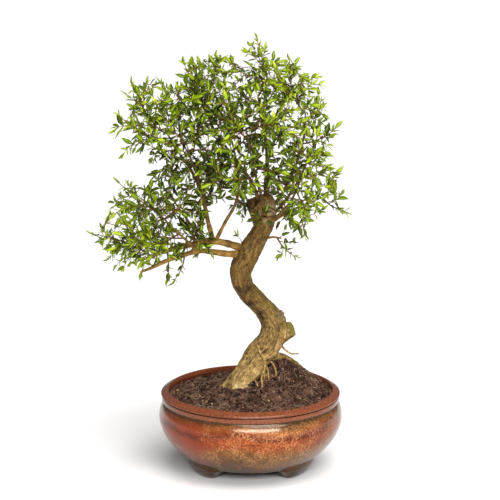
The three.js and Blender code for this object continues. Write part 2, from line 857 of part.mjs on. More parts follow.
sprays.forEach((spray) => {
  const { curve } = spray;
  const tangent = curve.getTangentAt(0);
  const lead = tangent.clone().cross(worldUp).applyAxisAngle(tangent, Math.PI / 4 + 0.6 * (random() - 0.5));
  spray.skin = { places: [], corners: [] };
  const foot = addRing(spray.skin, curve.getPointAt(0), tangent, lead, stemRadius(0));
  addFace(spray.skin, [foot[3], foot[2], foot[1], foot[0]]);
  const stemLength = curve.getLength();
  const nodes = stemNodes(stemLength);
  const stem = growStem(spray.skin, foot, curve, nodes.map((node) => node.share), stemRadius);
  const length = THREE.MathUtils.clamp(0.45 * stemLength, twigLengths.least, twigLengths.most);
  spray.bars = [{ curve, tip: stem.tip, whorls: [] }];
  stem.buds.forEach((faces, i) => {
    const { share, isFork } = nodes[i];
    if (!isFork) {
      spray.bars[0].whorls.push({ share, faces });
      return;
    }
    faces.forEach((face, k) => {
      const side = sideOf(spray.skin, face, curve, share);
      const tangentThere = curve.getTangentAt(share);
      const twig = k % 2 === 0 ? tryTwig(spray, k + 1, face, tangentThere, side, length) : null;
      if (twig) {
        spray.bars.push(twig);
      } else {
        addFace(spray.skin, face);
      }
    });
  });
});

sprays.forEach((spray) => {
  spray.bars.forEach((bar, barIndex) => {
    tryLeaf(spray, barIndex, bar.tip, bar.curve.getTangentAt(1), worldUp, 0);
    bar.whorls.forEach(({ share, faces }, whorlIndex) => {
      const tangent = bar.curve.getTangentAt(share);
      const inner = barIndex === 0 && whorlIndex < bar.whorls.length - 1;
      faces.forEach((face, k) => {
        if (inner && k === (spray.index + whorlIndex) % 4) {
          addFace(spray.skin, face);
          return;
        }
        tryLeaf(spray, barIndex, face, tangent, sideOf(spray.skin, face, bar.curve, share), leafSpread);
      });
    });
  });
});

const leafGreens = [0x6f8a24, 0x5d7a1e, 0x82992e];
sprays.forEach((spray) => {
  const number = String(spray.index + 1).padStart(2, "0");
  const color = leafGreens[spray.index % leafGreens.length];
  const leafGreen = new THREE.MeshStandardMaterial({ color, roughness: 0.5, metalness: 0 });
  addPiece(`spray_${number}`, solidFrom(skinGeometry(spray.skin)), leafGreen);
});

// The group is moved so that the origin lies under the middle of its box, on the table.
const box = new THREE.Box3().setFromObject(bonsai);
const middle = box.getCenter(new THREE.Vector3());
bonsai.position.set(-middle.x, -middle.y, -box.min.z);

export default bonsai;
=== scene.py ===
import itertools
import math

import bmesh
import bpy
import numpy as np
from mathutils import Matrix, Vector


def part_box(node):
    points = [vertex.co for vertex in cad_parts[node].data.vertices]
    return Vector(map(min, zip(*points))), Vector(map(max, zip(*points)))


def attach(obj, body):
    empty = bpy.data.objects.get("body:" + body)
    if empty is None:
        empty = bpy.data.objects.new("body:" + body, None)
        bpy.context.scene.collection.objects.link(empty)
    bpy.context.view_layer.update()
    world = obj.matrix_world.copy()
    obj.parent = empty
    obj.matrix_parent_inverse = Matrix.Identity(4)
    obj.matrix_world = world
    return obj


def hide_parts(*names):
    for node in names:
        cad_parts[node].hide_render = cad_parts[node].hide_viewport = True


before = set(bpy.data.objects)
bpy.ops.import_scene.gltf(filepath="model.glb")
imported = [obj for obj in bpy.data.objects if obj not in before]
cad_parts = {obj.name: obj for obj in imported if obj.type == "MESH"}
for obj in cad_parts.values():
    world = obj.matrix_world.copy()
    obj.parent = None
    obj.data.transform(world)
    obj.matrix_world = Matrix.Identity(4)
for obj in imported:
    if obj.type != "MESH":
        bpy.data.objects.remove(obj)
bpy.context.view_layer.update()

# Pot middle
# The tree is laid out round the middle of the pot. The branch that reaches out to the left
# moves the middle of the whole object away from it, so every place is counted from the pot.
pot_low, pot_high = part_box("pot")
pot_middle = np.array([(pot_low.x + pot_high.x) / 2, (pot_low.y + pot_high.y) / 2, 0.0])


# Camera, table and light
# A long lens looks a little down on the pot from the front. The table is pale and matt. A bright
# ceiling lights the crown, and a wide soft box in front, a little to the right, gives the glaze
# its highlight.
CAMERA_PLACE = pot_middle + np.array([-0.0007, -6.0, 1.911])
CAMERA_PITCH = 0.261
CAMERA_FOCAL_SHARE = 9.15
SENSOR_WIDTH = 36.0
TABLE_RADIUS = 9.0

camera = bpy.data.cameras.new("camera")
camera.sensor_width = SENSOR_WIDTH
camera.lens = CAMERA_FOCAL_SHARE * SENSOR_WIDTH


def linked(name, data):
    """A new object that is linked into the scene."""
    made = bpy.data.objects.new(name, data)
    bpy.context.scene.collection.objects.link(made)
    return made


camera_object = linked("camera", camera)
camera_object.location = CAMERA_PLACE
camera_object.rotation_euler = (math.pi / 2 - CAMERA_PITCH, 0.0, 0.0)
bpy.context.scene.camera = camera_object
bpy.context.scene.view_settings.view_transform = "Standard"


def linear(code):
    """An sRGB hex colour as linear red, green, blue and a solid alpha."""
    shares = [int(code[i:i + 2], 16) / 255 for i in (1, 3, 5)]
    return [s / 12.92 if s < 0.04045 else ((s + 0.055) / 1.055) ** 2.4 for s in shares] + [1.0]


def give(target, inputs):
    """Links or sets inputs of a node. Each goes by its number, or its name with _ for a space."""
    for key, value in inputs.items():
        socket = target.inputs[key.replace("_", " ") if isinstance(key, str) else key]
        if isinstance(value, bpy.types.NodeSocket):
            target.id_data.links.new(value, socket)
        else:
            socket.default_value = value


def node(tree, kind, inputs=None, out=0, stops=(), **named):
    """Adds a shader node with its settings and links, and returns one of its outputs. A name with
    a capital is an input, and one without is a setting. Inputs can also go by number, in a
    dictionary or, from the first on, in a list. Stops are a ramp's places and sRGB hex colours."""
    made = tree.nodes.new("ShaderNode" + kind)
    for key, value in named.items():
        if key.islower():
            setattr(made, key, value)
    give(made, dict(enumerate(inputs)) if isinstance(inputs, list) else inputs or {})
    give(made, {key: value for key, value in named.items() if not key.islower()})
    if stops:
        elements = made.color_ramp.elements
        while len(elements) < len(stops):
            elements.new(0.5)
        for element, (place, code) in zip(elements, stops):
            element.position = place
            element.color = linear(code)
    return made.outputs[out]


def material(name, **shader_values):
    """A new material with its node tree and its shader, which starts with the given values."""
    made = bpy.data.materials.new(name)
    made.use_nodes = True
    shader = made.node_tree.nodes["Principled BSDF"]
    give(shader, shader_values)
    return made, made.node_tree, shader


def mesh_piece(name, points, face_groups, materials, smooth=True):
    """A mesh object from an array of points and groups of faces. The faces of one group have the
    same number of corners, and take the material that stands at its place in the list."""
    mesh = bpy.data.meshes.new(name)
    sizes = np.concatenate([np.full(len(group), group.shape[1]) for group in face_groups])
    corners = np.concatenate([group.ravel() for group in face_groups])
    mesh.vertices.add(len(points))
    mesh.vertices.foreach_set("co", np.asarray(points, np.float32).ravel())
    mesh.loops.add(len(corners))
    mesh.loops.foreach_set("vertex_index", corners.astype(np.int32))
    mesh.polygons.add(len(sizes))
    mesh.polygons.foreach_set("loop_start", (np.cumsum(sizes) - sizes).astype(np.int32))
    slots = np.concatenate([np.full(len(group), i) for i, group in enumerate(face_groups)])
    for entry in materials:
        mesh.materials.append(entry)
    mesh.polygons.foreach_set("material_index", slots.astype(np.int32))
    mesh.polygons.foreach_set("use_smooth", np.full(len(sizes), smooth))
    mesh.update(calc_edges=True)
    return linked(name, mesh)


def circle(sides):
    """The bearings of points that are evenly spaced round a circle."""
    return np.linspace(0, 2 * np.pi, sides, endpoint=False)


def disc(radius, height, sides):
    """A flat round sheet: a middle point and a ring of points at one distance from it."""
    angles = circle(sides)
    ring = np.stack([radius * np.cos(angles), radius * np.sin(angles), np.full(sides, height)], 1)
    around = np.arange(sides)
    faces = np.stack([np.full(sides, sides), around, (around + 1) % sides], 1)
    return np.vstack([ring, [0, 0, height]]), faces


# White laminate: a board faced with pressed paper and resin. It gives the table a pale, matt
# ground with a soft shadow.
table_finish, tree, shader = material("white_laminate", Roughness=0.7, Base_Color=linear("#f8f7f5"))
table_points, table_faces = disc(TABLE_RADIUS, 0.0, 96)
table = mesh_piece("table", table_points, [table_faces], [table_finish])


def soft_box(name, place, target, width, height, power):
    """A rectangular lamp that points from its place at a target."""
    lamp = bpy.data.lights.new(name, "AREA")
    lamp.shape = "RECTANGLE"
    lamp.size = width
    lamp.size_y = height
    lamp.energy = power
    lit = linked(name, lamp)
    lit.location = place
    way = np.array(target) - np.array(place)
    level = math.hypot(way[0], way[1])
    lit.rotation_euler = (math.atan2(level, -way[2]), 0.0, math.atan2(-way[0], way[1]))


world = bpy.data.worlds.new("studio")
world.use_nodes = True
give(world.node_tree.nodes["Background"], dict(Color=linear("#fbfcff"), Strength=0.2))
bpy.context.scene.world = world
soft_box("front_box", place=pot_middle + (0.55, -3.0, 1.55), target=pot_middle + (0, 0, 0.12),
         width=3.0, height=0.9, power=115.0)
ceiling = bpy.data.lights.new("ceiling_panel", "SUN")
ceiling.energy = 3.1
ceiling.angle = 0.9
ceiling_panel = linked("ceiling_panel", ceiling)
ceiling_panel.rotation_euler = (math.radians(18), math.radians(12), 0.0)


# Pot
# A round bonsai pot of stoneware, thrown on a wheel, with a flat lip over a plain collar, a full
# belly and three feet. It is glazed in a rust red that breaks to tan and olive specks.
DRAIN_RADIUS = 0.008
FLOOR_HEIGHT = 0.026
UNDERSIDE_HEIGHT = 0.017
POT_SIDES = 224
BELLY_STEPS = 44
WALL_STEPS = 26
EDGE_RADIUS = 0.002
LIP_RADIUS = 0.0009
BELLY = [
    (0.0880, 0.0200), (0.0980, 0.0280), (0.1095, 0.0395), (0.1190, 0.0535), (0.1250, 0.0760),
    (0.1214, 0.0920), (0.1182, 0.0966),
]
LIP = [
    (0.1184, 0.0970), (0.1212, 0.0983), (0.1214, 0.1038), (0.1203, 0.1046), (0.1204, 0.1054),
    (0.1225, 0.1062), (0.1224, 0.1078), (0.1212, 0.1089), (0.1131, 0.1129), (0.1121, 0.1120),
]
INNER_WALL = [
    (0.1121, 0.1000), (0.1170, 0.0760), (0.1090, 0.0520), (0.0940, 0.0340), (0.0800, FLOOR_HEIGHT),
]


def smooth_path(knots, count):
    """Points evenly spaced along a smooth curve through the knots. Between two knots it is a
    cubic, and its direction at a knot is the mean of the chords on both sides."""
    knots = np.asarray(knots, float)
    chords = np.linalg.norm(np.diff(knots, axis=0), axis=1)
    at = np.concatenate([[0], np.cumsum(chords)])
    slopes = np.gradient(knots, at, axis=0)
    where = np.linspace(0, at[-1], count)
    left = np.clip(np.searchsorted(at, where, side="right") - 1, 0, len(at) - 2)
    span = (at[left + 1] - at[left])[:, None]
    t = (where - at[left])[:, None] / span
    start, end = knots[left], knots[left + 1]
    rise = (2 * t**3 - 3 * t**2 + 1) * start + (3 * t**2 - 2 * t**3) * end
    lean = (t**3 - 2 * t**2 + t) * slopes[left] + (t**3 - t**2) * slopes[left + 1]
    return rise + span * lean


def bent(start, middle, end, count):
    """A quadratic curve from its start to its end, drawn towards the middle point."""
    t = np.linspace(0, 1, count)[:, None]
    return (1 - t) ** 2 * start + 2 * t * (1 - t) * middle + t**2 * end


def rounded(corners, radius, arc=4):
    """An open line whose corners are replaced by short arcs: each is a quadratic curve between
    two points one radius before and after the corner."""
    corners = np.asarray(corners, float)
    here = corners[1:-1]
    ends = []
    for beside in (corners[:-2], corners[2:]):
        span = np.linalg.norm(beside - here, axis=1)[:, None]
        ends.append(here + (beside - here) / span * np.minimum(radius, 0.45 * span))
    arcs = bent(ends[0][:, None], here[:, None], ends[1][:, None], arc)
    return np.vstack([corners[:1], arcs.reshape(-1, 2), corners[-1:]])


def grid_faces(rows, columns):
    """Four-cornered faces of a grid whose last column joins the first one."""
    row, column = np.meshgrid(np.arange(rows - 1), np.arange(columns), indexing="ij")
    start = row * columns + column
    side = row * columns + (column + 1) % columns
    return np.stack([start, side, side + columns, start + columns], -1).reshape(-1, 4)


def turned(outline, sides):
    """A surface of revolution: the outline's distances and heights carried round the pot's axis."""
    angles = circle(sides)
    around = np.stack([np.cos(angles), np.sin(angles), np.zeros(sides)], 1)
    rings = outline[:, None, :1] * around[None] + outline[:, None, 1:] * [0, 0, 1]
    return rings + pot_middle


underside = [
    (DRAIN_RADIUS, FLOOR_HEIGHT), (DRAIN_RADIUS, UNDERSIDE_HEIGHT), (0.084, UNDERSIDE_HEIGHT), BELLY[0],
]
outside = [
    rounded(underside, EDGE_RADIUS)[:-1], smooth_path(BELLY, BELLY_STEPS), rounded(LIP, LIP_RADIUS),
]
inside = [
    smooth_path(INNER_WALL, WALL_STEPS)[:-1],
    rounded([INNER_WALL[-1], (DRAIN_RADIUS, FLOOR_HEIGHT)], EDGE_RADIUS)[:-1],
]
pot_outline = np.vstack(outside + inside)
pot_rings = turned(pot_outline, POT_SIDES)
pot_faces = grid_faces(len(pot_outline), POT_SIDES)
last_ring = (len(pot_outline) - 1) * POT_SIDES
closing = np.arange(POT_SIDES)
following = (closing + 1) % POT_SIDES
pot_seam = np.stack([last_ring + closing, last_ring + following, following, closing], 1)

FOOT_ANGLES = np.radians([90, 210, 330])
FOOT_INNER = 0.054
FOOT_LEVELS = [
    (0.0, 0.0725, 15.8), (0.0006, 0.0745, 16.8), (0.0025, 0.0790, 18.6), (0.007, 0.0832, 21.8),
    (0.0125, 0.0864, 27.0), (0.0165, 0.0884, 31.5), (0.0215, 0.0890, 34.0),
]


def foot(angle, rows=22, columns=72, squareness=5.0):
    """A foot: at each height its section is a rounded rectangle bent round the pot's axis, with
    the reach and the half width in degrees read from the levels. Both ends close on a point."""
    levels = smooth_path(FOOT_LEVELS, rows)
    turn = circle(columns)
    across = np.sign(np.cos(turn)) * np.abs(np.cos(turn)) ** (2 / squareness)
    along = np.sign(np.sin(turn)) * np.abs(np.sin(turn)) ** (2 / squareness)
    shrink = np.concatenate([[0.0], np.ones(rows), [0.0]])[:, None]
    levels = np.vstack([levels[:1], levels, levels[-1:]])
    middle = (levels[:, 1:2] + FOOT_INNER) / 2
    radius = middle + (levels[:, 1:2] - FOOT_INNER) / 2 * across * shrink
    bearing = angle - np.radians(levels[:, 2:3]) * along * shrink
    height = np.broadcast_to(np.maximum(levels[:, :1], 0.0), radius.shape)
    return np.stack([radius * np.cos(bearing), radius * np.sin(bearing), height], -1) + pot_middle


feet = [foot(angle) for angle in FOOT_ANGLES]
foot_faces = grid_faces(*feet[0].shape[:2])
pot_points = np.vstack([pot_rings.reshape(-1, 3)] + [one.reshape(-1, 3) for one in feet])
first_foot = pot_rings.shape[0] * POT_SIDES
foot_size = feet[0].shape[0] * feet[0].shape[1]
all_feet = np.vstack([foot_faces + first_foot + i * foot_size for i in range(len(feet))])


def merged(piece, distance=1e-6):
    """Joins corners that lie in one place, so that poles and seams are closed."""
    shell = bmesh.new()
    shell.from_mesh(piece.data)
    bmesh.ops.remove_doubles(shell, verts=shell.verts, dist=distance)
    bmesh.ops.dissolve_degenerate(shell, edges=shell.edges, dist=distance)
    shell.to_mesh(piece.data)
    shell.free()


def noted(piece, name, values):
    """Keeps one number for each point of a piece, for its material to read."""
    mesh = piece.data
    mesh.attributes.new(name, "FLOAT", "POINT").data.foreach_set("value", np.asarray(values, np.float32))


# Rust stoneware glaze: dipped twice and fired glossy, most of all on the shoulder. It runs down
# from there, so its colours lie in wavy bands, and iron in it breaks out in tan and dark specks
# of about 2 mm. On the left it ran thick and stays smooth and red, on the right its colour is
# darkened as painted shade, and the neck is peppered with dark grains.
glaze, tree, shader = material(
    "rust_stoneware_glaze", Roughness=0.2, IOR=1.43, Coat_Weight=0.12, Coat_Roughness=0.14,
    Specular_Tint=linear("#fde3cc"))
place = node(tree, "TexCoord", out="Object")
centred = node(tree, "Mapping", Vector=place, Location=tuple(-pot_middle))
side = node(tree, "SeparateXYZ", Vector=centred, out="X")
level = node(tree, "SeparateXYZ", Vector=centred, out="Z")
runs = node(tree, "TexNoise", Vector=centred, Scale=38.0, Detail=4.0, Roughness=0.65)
drift = node(tree, "TexNoise", Vector=centred, Scale=11.0, Detail=2.0)
grains = node(tree, "TexNoise", Vector=centred, Scale=430.0, Detail=3.0, Roughness=0.7)
clusters = node(tree, "TexNoise", Vector=centred, Scale=55.0, Detail=3.0)
ragged = node(tree, "Math", [runs, 0.016, level], operation="MULTIPLY_ADD")
wavy = node(tree, "Math", [drift, 0.042, ragged], operation="MULTIPLY_ADD")
band = node(tree, "MapRange", Value=wavy, From_Min=0.029, From_Max=0.129)
speckled = node(tree, "ValToRGB", Fac=band, stops=[
    (0.0, "#2f1f0e"), (0.2, "#38240f"), (0.28, "#4d2e12"), (0.42, "#5c3f1b"), (0.56, "#70461c"),
    (0.66, "#853911"), (0.75, "#8d3d13"), (0.8, "#581d08"), (0.85, "#77371a"), (0.9, "#925527"),
    (0.95, "#6b4423"), (1.0, "#422a12"),
])
smooth_red = node(tree, "ValToRGB", Fac=band, stops=[
    (0.2, "#3d210b"), (0.36, "#64290a"), (0.56, "#772f0b"), (0.7, "#802b08"), (0.77, "#561a0e"),
    (0.83, "#7f2708"), (0.9, "#78391b"), (1.0, "#4a2c16"),
])
wander = node(tree, "Math", [clusters, 0.07, side], operation="MULTIPLY_ADD")
thick = node(tree, "MapRange", Value=wander, From_Min=0.0, From_Max=-0.035)
bands = node(tree, "Mix", {0: thick, 6: speckled, 7: smooth_red}, out=2, data_type="RGBA")
bright = node(tree, "MapRange", Value=grains, From_Min=0.5, From_Max=0.6)
grouped = node(tree, "MapRange", Value=clusters, From_Min=0.38, From_Max=0.60)
broken = node(tree, "MapRange", Value=thick, From_Min=1.0, From_Max=0.0, To_Min=0.12)
above_feet = node(tree, "MapRange", Value=level, From_Min=0.018, From_Max=0.045)
dim = node(tree, "MapRange", Value=grains, From_Min=0.48, From_Max=0.38)
sparse = node(tree, "MapRange", Value=clusters, From_Min=0.62, From_Max=0.40)
at_neck = node(tree, "MapRange", Value=level, From_Min=0.086, From_Max=0.096)
pepper = node(tree, "TexNoise", Vector=centred, Scale=560.0, Detail=2.0)
peppered = node(tree, "MapRange", Value=pepper, From_Min=0.56, From_Max=0.46, To_Max=0.8)
# Painted shade: the pot's right end is darkened, as if the light fell off there.
right_side_painted_shade = node(tree, "MapRange", Value=side, From_Min=0.05, From_Max=0.12, To_Max=0.4)
neck_line = node(tree, "Math", [clusters, 0.006, level], operation="MULTIPLY_ADD")
neck = node(tree, "MapRange", Value=neck_line, From_Min=0.0955, From_Max=0.0985, To_Max=0.6)
lip_top = node(tree, "MapRange", Value=level, From_Min=0.0978, From_Max=0.0984)
lip_tint = node(tree, "ValToRGB", Fac=grains, stops=[
    (0.35, "#562815"), (0.5, "#753f28"), (0.7, "#8a4f35")])
on_rim = node(tree, "MapRange", Value=level, From_Min=0.1, From_Max=0.11)
edge = node(tree, "ValToRGB", Fac=on_rim, stops=[
    (0.38, "#000000"), (0.44, "#ffffff"), (0.58, "#ffffff"), (0.64, "#000000")])
inner = node(tree, "Attribute", out="Fac", attribute_name="inner_wall")
inner_tint = node(tree, "ValToRGB", Fac=runs, stops=[(0.3, "#45190f"), (0.7, "#74301b")])
# Each layer covers those before it where all of its shares are high.
glazed = bands
for shares, colour in [
    ([bright, grouped, broken, above_feet], linear("#b97e50")),
    ([dim, sparse, broken], linear("#33200f")),
    ([peppered, at_neck], linear("#2b1c0e")),
    ([right_side_painted_shade], linear("#3a2410")),
    ([neck], linear("#3f2a17")),
    ([lip_top], lip_tint),
    ([edge], linear("#2c1a12")),
    ([inner], inner_tint),
]:
    share = shares[0]
    for other in shares[1:]:
        share = node(tree, "Math", [share, other], operation="MULTIPLY")
    glazed = node(tree, "Mix", {0: share, 6: glazed, 7: colour}, out=2, data_type="RGBA")
gloss = node(tree, "MapRange", Value=level, From_Min=0.076, From_Max=0.088, To_Min=0.3, To_Max=1.0)
below_lip = node(tree, "MapRange", Value=level, From_Min=0.096, From_Max=0.0985, To_Min=1.0, To_Max=0.4)
gloss = node(tree, "Math", [gloss, below_lip], operation="MULTIPLY")
skin = node(tree, "Bump", Strength=0.12, Distance=0.0004, Height=grains)
ripple = node(tree, "TexNoise", Vector=centred, Scale=60.0, Detail=1.0)
waved = node(tree, "Bump", Strength=0.3, Distance=0.002, Height=ripple, Normal=skin)
give(shader, dict(Base_Color=glazed, Specular_IOR_Level=gloss, Normal=waved))

pot = mesh_piece("glazed_pot", pot_points, [np.vstack([pot_faces, pot_seam, all_feet])], [glaze])
inner_rows = (np.arange(len(pot_outline)) >= sum(len(line) for line in outside)).astype(float)
no_feet = np.zeros(len(feet) * foot_size)
noted(pot, "inner_wall", np.concatenate([np.repeat(inner_rows, POT_SIDES), no_feet]))
merged(pot)
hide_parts("pot")
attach(pot, "root")


# Drain cover
# A disc of black plastic mesh lies over the drain hole, under the soil. It is the frame's own
# solid, moulded in polypropylene, with a faint grain.
cover_plastic, tree, shader = material("black_polypropylene", Roughness=0.6)
place = node(tree, "TexCoord", out="Object")
grain = node(tree, "TexNoise", Vector=place, Scale=900.0, Detail=2.0)
black = node(tree, "ValToRGB", Fac=grain, stops=[(0.3, "#15181b"), (0.7, "#24282c")])
grainy = node(tree, "Bump", Strength=0.2, Distance=0.0002, Height=grain)
give(shader, dict(Base_Color=black, Normal=grainy))
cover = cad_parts["drain_cover"]
cover.data.materials.clear()
cover.data.materials.append(cover_plastic)


# Soil
# Potting soil of peat, bark crumbs and coir fibre fills the pot and is heaped up round the
# roots. Its top is rough with clods, loose crumbs and pale fibres.
MOUND_MIDDLE = np.array([0.030, 0.016])
MOUND_SPREAD = np.array([0.050, 0.042])
MOUND_RISE = 0.036
MOUND_EDGE = 0.110
SOIL_EDGE_HEIGHT = 0.1055
SOIL_GAP = 0.0004
COVER_CLEARANCE = 0.0019
SOIL_RINGS = 112
SOIL_SIDES = 420


def lattice_noise(points, spacing, seed):
    """Noise from -1 to 1: random numbers on a cubic lattice of the given spacing, blended
    smoothly between the eight corners round each point."""
    cells = np.asarray(points) / spacing
    low = np.floor(cells).astype(np.int64)
    share = cells - low
    share = share * share * (3 - 2 * share)
    total = np.zeros(len(cells))
    for corner in itertools.product((0, 1), repeat=3):
        ids = (low + corner).astype(np.uint64)
        mixed = ids[:, 0] * np.uint64(73856093) ^ ids[:, 1] * np.uint64(19349663)
        mixed = mixed ^ ids[:, 2] * np.uint64(83492791) ^ np.uint64(seed * 2654435761)
        mixed = (mixed ^ (mixed >> np.uint64(13))) * np.uint64(1274126177)
        mixed = (mixed ^ (mixed >> np.uint64(16))) & np.uint64(0xFFFF)
        weight = np.prod(np.where(corner, share, 1 - share), axis=1)
        total += weight * (mixed.astype(float) / 32767.5 - 1)
    return total


def soil_height(x, y):
    """The heap: a bell-shaped mound on a level bed, brought back to the bed near the wall, a
    small bank under the right root, and low clods from two crossed waves."""
    away = ((x - MOUND_MIDDLE[0]) / MOUND_SPREAD[0]) ** 2 + ((y - MOUND_MIDDLE[1]) / MOUND_SPREAD[1]) ** 2
    level_off = 1 - (np.hypot(x, y) / MOUND_EDGE) ** 6
    heap = MOUND_RISE * np.exp(-away / 2) * level_off
    clods = 0.0011 * np.sin(210 * x + 1) * np.cos(240 * y) + 0.0007 * np.sin(370 * x - 310 * y)
    bank = 0.009 * np.exp(-((x - 0.047) / 0.028) ** 2 - ((y - 0.013) / 0.022) ** 2)
    return SOIL_EDGE_HEIGHT + 0.03 * x + heap + bank + clods


def soil_relief(x, y):
    """Clods and crumbs on the heap: four layers of noise, from a thumb's width to a grain."""
    flat = np.stack([x, y, np.zeros_like(x)], 1)
    big = 0.0015 * lattice_noise(flat, 0.014, 3)
    clods = 0.0024 * np.abs(lattice_noise(flat, 0.0052, 5)) - 0.0007
    crumbs = 0.0013 * lattice_noise(flat, 0.0027, 7)
    return big + clods + crumbs + 0.0006 * lattice_noise(flat, 0.0016, 9)


bed_angles = circle(SOIL_SIDES)
top_radius = INNER_WALL[0][0] - SOIL_GAP
bed_radii = top_radius * np.linspace(0, 1, SOIL_RINGS) ** 0.85
bed_x = (bed_radii[:, None] * np.cos(bed_angles)).ravel()
bed_y = (bed_radii[:, None] * np.sin(bed_angles)).ravel()
clumps = soil_relief(bed_x, bed_y)
bed = np.stack([bed_x, bed_y, soil_height(bed_x, bed_y) + clumps], 1) + pot_middle
wall = smooth_path(INNER_WALL, 12)[1:] + np.array([-SOIL_GAP, SOIL_GAP])
wall = np.vstack([wall, [[0.0, FLOOR_HEIGHT + SOIL_GAP]]])
buried = turned(wall, SOIL_SIDES)
buried[-2:, :, 2] = FLOOR_HEIGHT + COVER_CLEARANCE
soil_points = np.vstack([bed, buried.reshape(-1, 3)])
soil_faces = grid_faces(SOIL_RINGS + len(wall), SOIL_SIDES)

# Potting mix: peat and fine bark, sieved and mixed. It gives a damp, dark and matt ground. Its
# colour follows the relief: nearly black in the hollows between clods, as painted shade, and
# paler on the high spots.
peat, tree, shader = material("peat_potting_mix", Roughness=0.95, Specular_IOR_Level=0.15)
place = node(tree, "TexCoord", out="Object")
patches = node(tree, "TexNoise", Vector=place, Scale=70.0, Detail=4.0, Roughness=0.7)
crumbs = node(tree, "TexNoise", Vector=place, Scale=420.0, Detail=4.0, Roughness=0.75)
relief = node(tree, "Attribute", out="Fac", attribute_name="relief")
half = node(tree, "Math", [crumbs, 0.5], operation="MULTIPLY")
raised = node(tree, "Math", [relief, 0.6, half], operation="MULTIPLY_ADD")
raised = node(tree, "Math", [patches, 0.2, raised], operation="MULTIPLY_ADD")
# Painted shade: the low relief between clods is made nearly black.
peat_and_relief_shade = node(tree, "ValToRGB", Fac=raised, stops=[
    (0.34, "#060202"), (0.48, "#1b0e08"), (0.6, "#372219"), (0.74, "#593e30"), (0.88, "#7d5f4d"),
])
crumbly = node(tree, "Bump", Strength=0.9, Distance=0.0014, Height=crumbs)
give(shader, dict(Base_Color=peat_and_relief_shade, Normal=crumbly))

soil = mesh_piece("potting_soil", soil_points, [soil_faces], [peat])
rise = (clumps - clumps.min()) / np.ptp(clumps)
noted(soil, "relief", np.concatenate([rise, np.full(buried.shape[0] * SOIL_SIDES, 0.3)]))
merged(soil)
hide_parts("soil")
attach(soil, "root")


# Crumbs and fibres
# Loose crumbs of bark and peat, a few tan wood chips and thin coir fibres lie on the soil.
# They settle from a seeded scatter and are sunk a little into the bed.
CRUMB_COUNT = 2600
CHIP_COUNT = 46
FIBRE_COUNT = 2600
FIBRE_POINTS = 6
FIBRE_LIMIT = 0.1105
LUMP_CORNERS = 12
scatter = np.random.default_rng(41)


def unit(vectors):
    """Vectors scaled to length one."""
    return vectors / (np.linalg.norm(vectors, axis=-1, keepdims=True) + 1e-12)


def repeated(faces, corners, count):
    """The faces of many equal forms that follow one another, each with so many corners."""
    return (faces[None] + corners * np.arange(count)[:, None, None]).reshape(-1, 3)


def halved(quads):
    """Each four-cornered face as two three-cornered ones."""
    return np.vstack([quads[:, [0, 1, 2]], quads[:, [0, 2, 3]]])


def lumps(centres, sizes, draws):
    """Small stones of twenty faces: an icosahedron for each centre, with its corners pushed in
    and out by chance and its three widths unequal."""
    golden = (1 + math.sqrt(5)) / 2
    base = np.array([
        (-1, golden, 0), (1, golden, 0), (-1, -golden, 0), (1, -golden, 0),
        (0, -1, golden), (0, 1, golden), (0, -1, -golden), (0, 1, -golden),
        (golden, 0, -1), (golden, 0, 1), (-golden, 0, -1), (-golden, 0, 1),
    ]) / math.hypot(1, golden)
    faces = np.array([
        (0, 11, 5), (0, 5, 1), (0, 1, 7), (0, 7, 10), (0, 10, 11), (1, 5, 9), (5, 11, 4), (11, 10, 2),
        (10, 7, 6), (7, 1, 8), (3, 9, 4), (3, 4, 2), (3, 2, 6), (3, 6, 8), (3, 8, 9), (4, 9, 5),
        (2, 4, 11), (6, 2, 10), (8, 6, 7), (9, 8, 1),
    ])
    count = len(centres)
    shape = base[None] * draws.uniform(0.7, 1.25, (count, LUMP_CORNERS, 1))
    shape = shape * draws.uniform(0.55, 1.2, (count, 1, 3))
    turns = draws.uniform(0, 2 * np.pi, count)
    cos, sin = np.cos(turns)[:, None], np.sin(turns)[:, None]
    x = shape[..., 0] * cos - shape[..., 1] * sin
    y = shape[..., 0] * sin + shape[..., 1] * cos
    shape = np.stack([x, y, shape[..., 2]], -1) * sizes[:, None, None]
    return (centres[:, None] + shape).reshape(-1, 3), repeated(faces, LUMP_CORNERS, count)


def on_bed(count, draws, inner=0.0, outer=0.108):
    """Places on the soil, evenly spread over a ring round the pot's middle."""
    radius = np.sqrt(draws.uniform(inner**2, outer**2, count))
    angle = draws.uniform(0, 2 * np.pi, count)
    x, y = radius * np.cos(angle), radius * np.sin(angle)
    return np.stack([x, y, soil_height(x, y) + soil_relief(x, y)], 1) + pot_middle


def rings_round(paths, radii, sides):
    """A ring of points round each step of each path, at right angles to its direction."""
    way = unit(np.gradient(paths, axis=1))
    axes = np.eye(3)[np.argmin(np.abs(way).max(axis=1), axis=1)]
    right = unit(np.cross(way, axes[:, None]))
    up = np.cross(way, right)
    turn = circle(sides)[:, None]
    ring = np.cos(turn) * right[:, :, None] + np.sin(turn) * up[:, :, None]
    return paths[:, :, None] + ring * radii[..., None]


def tubes(paths, radii, sides):
    """Closed round bars: the rings of each path, with a point that closes each end. Returns the
    points and the three-cornered faces."""
    count, length = paths.shape[:2]
    rings = rings_round(paths, radii[:, :, None], sides).reshape(count, -1, 3)
    points = np.concatenate([rings, paths[:, :1], paths[:, -1:]], 1)
    around = np.arange(sides)
    beyond = (around + 1) % sides
    first = np.stack([np.full(sides, length * sides), beyond, around], 1)
    end_ring = (length - 1) * sides
    last = np.stack([np.full(sides, length * sides + 1), end_ring + around, end_ring + beyond], 1)
    faces = np.vstack([halved(grid_faces(length, sides)), first, last])
    return points.reshape(-1, 3), repeated(faces, length * sides + 2, count)


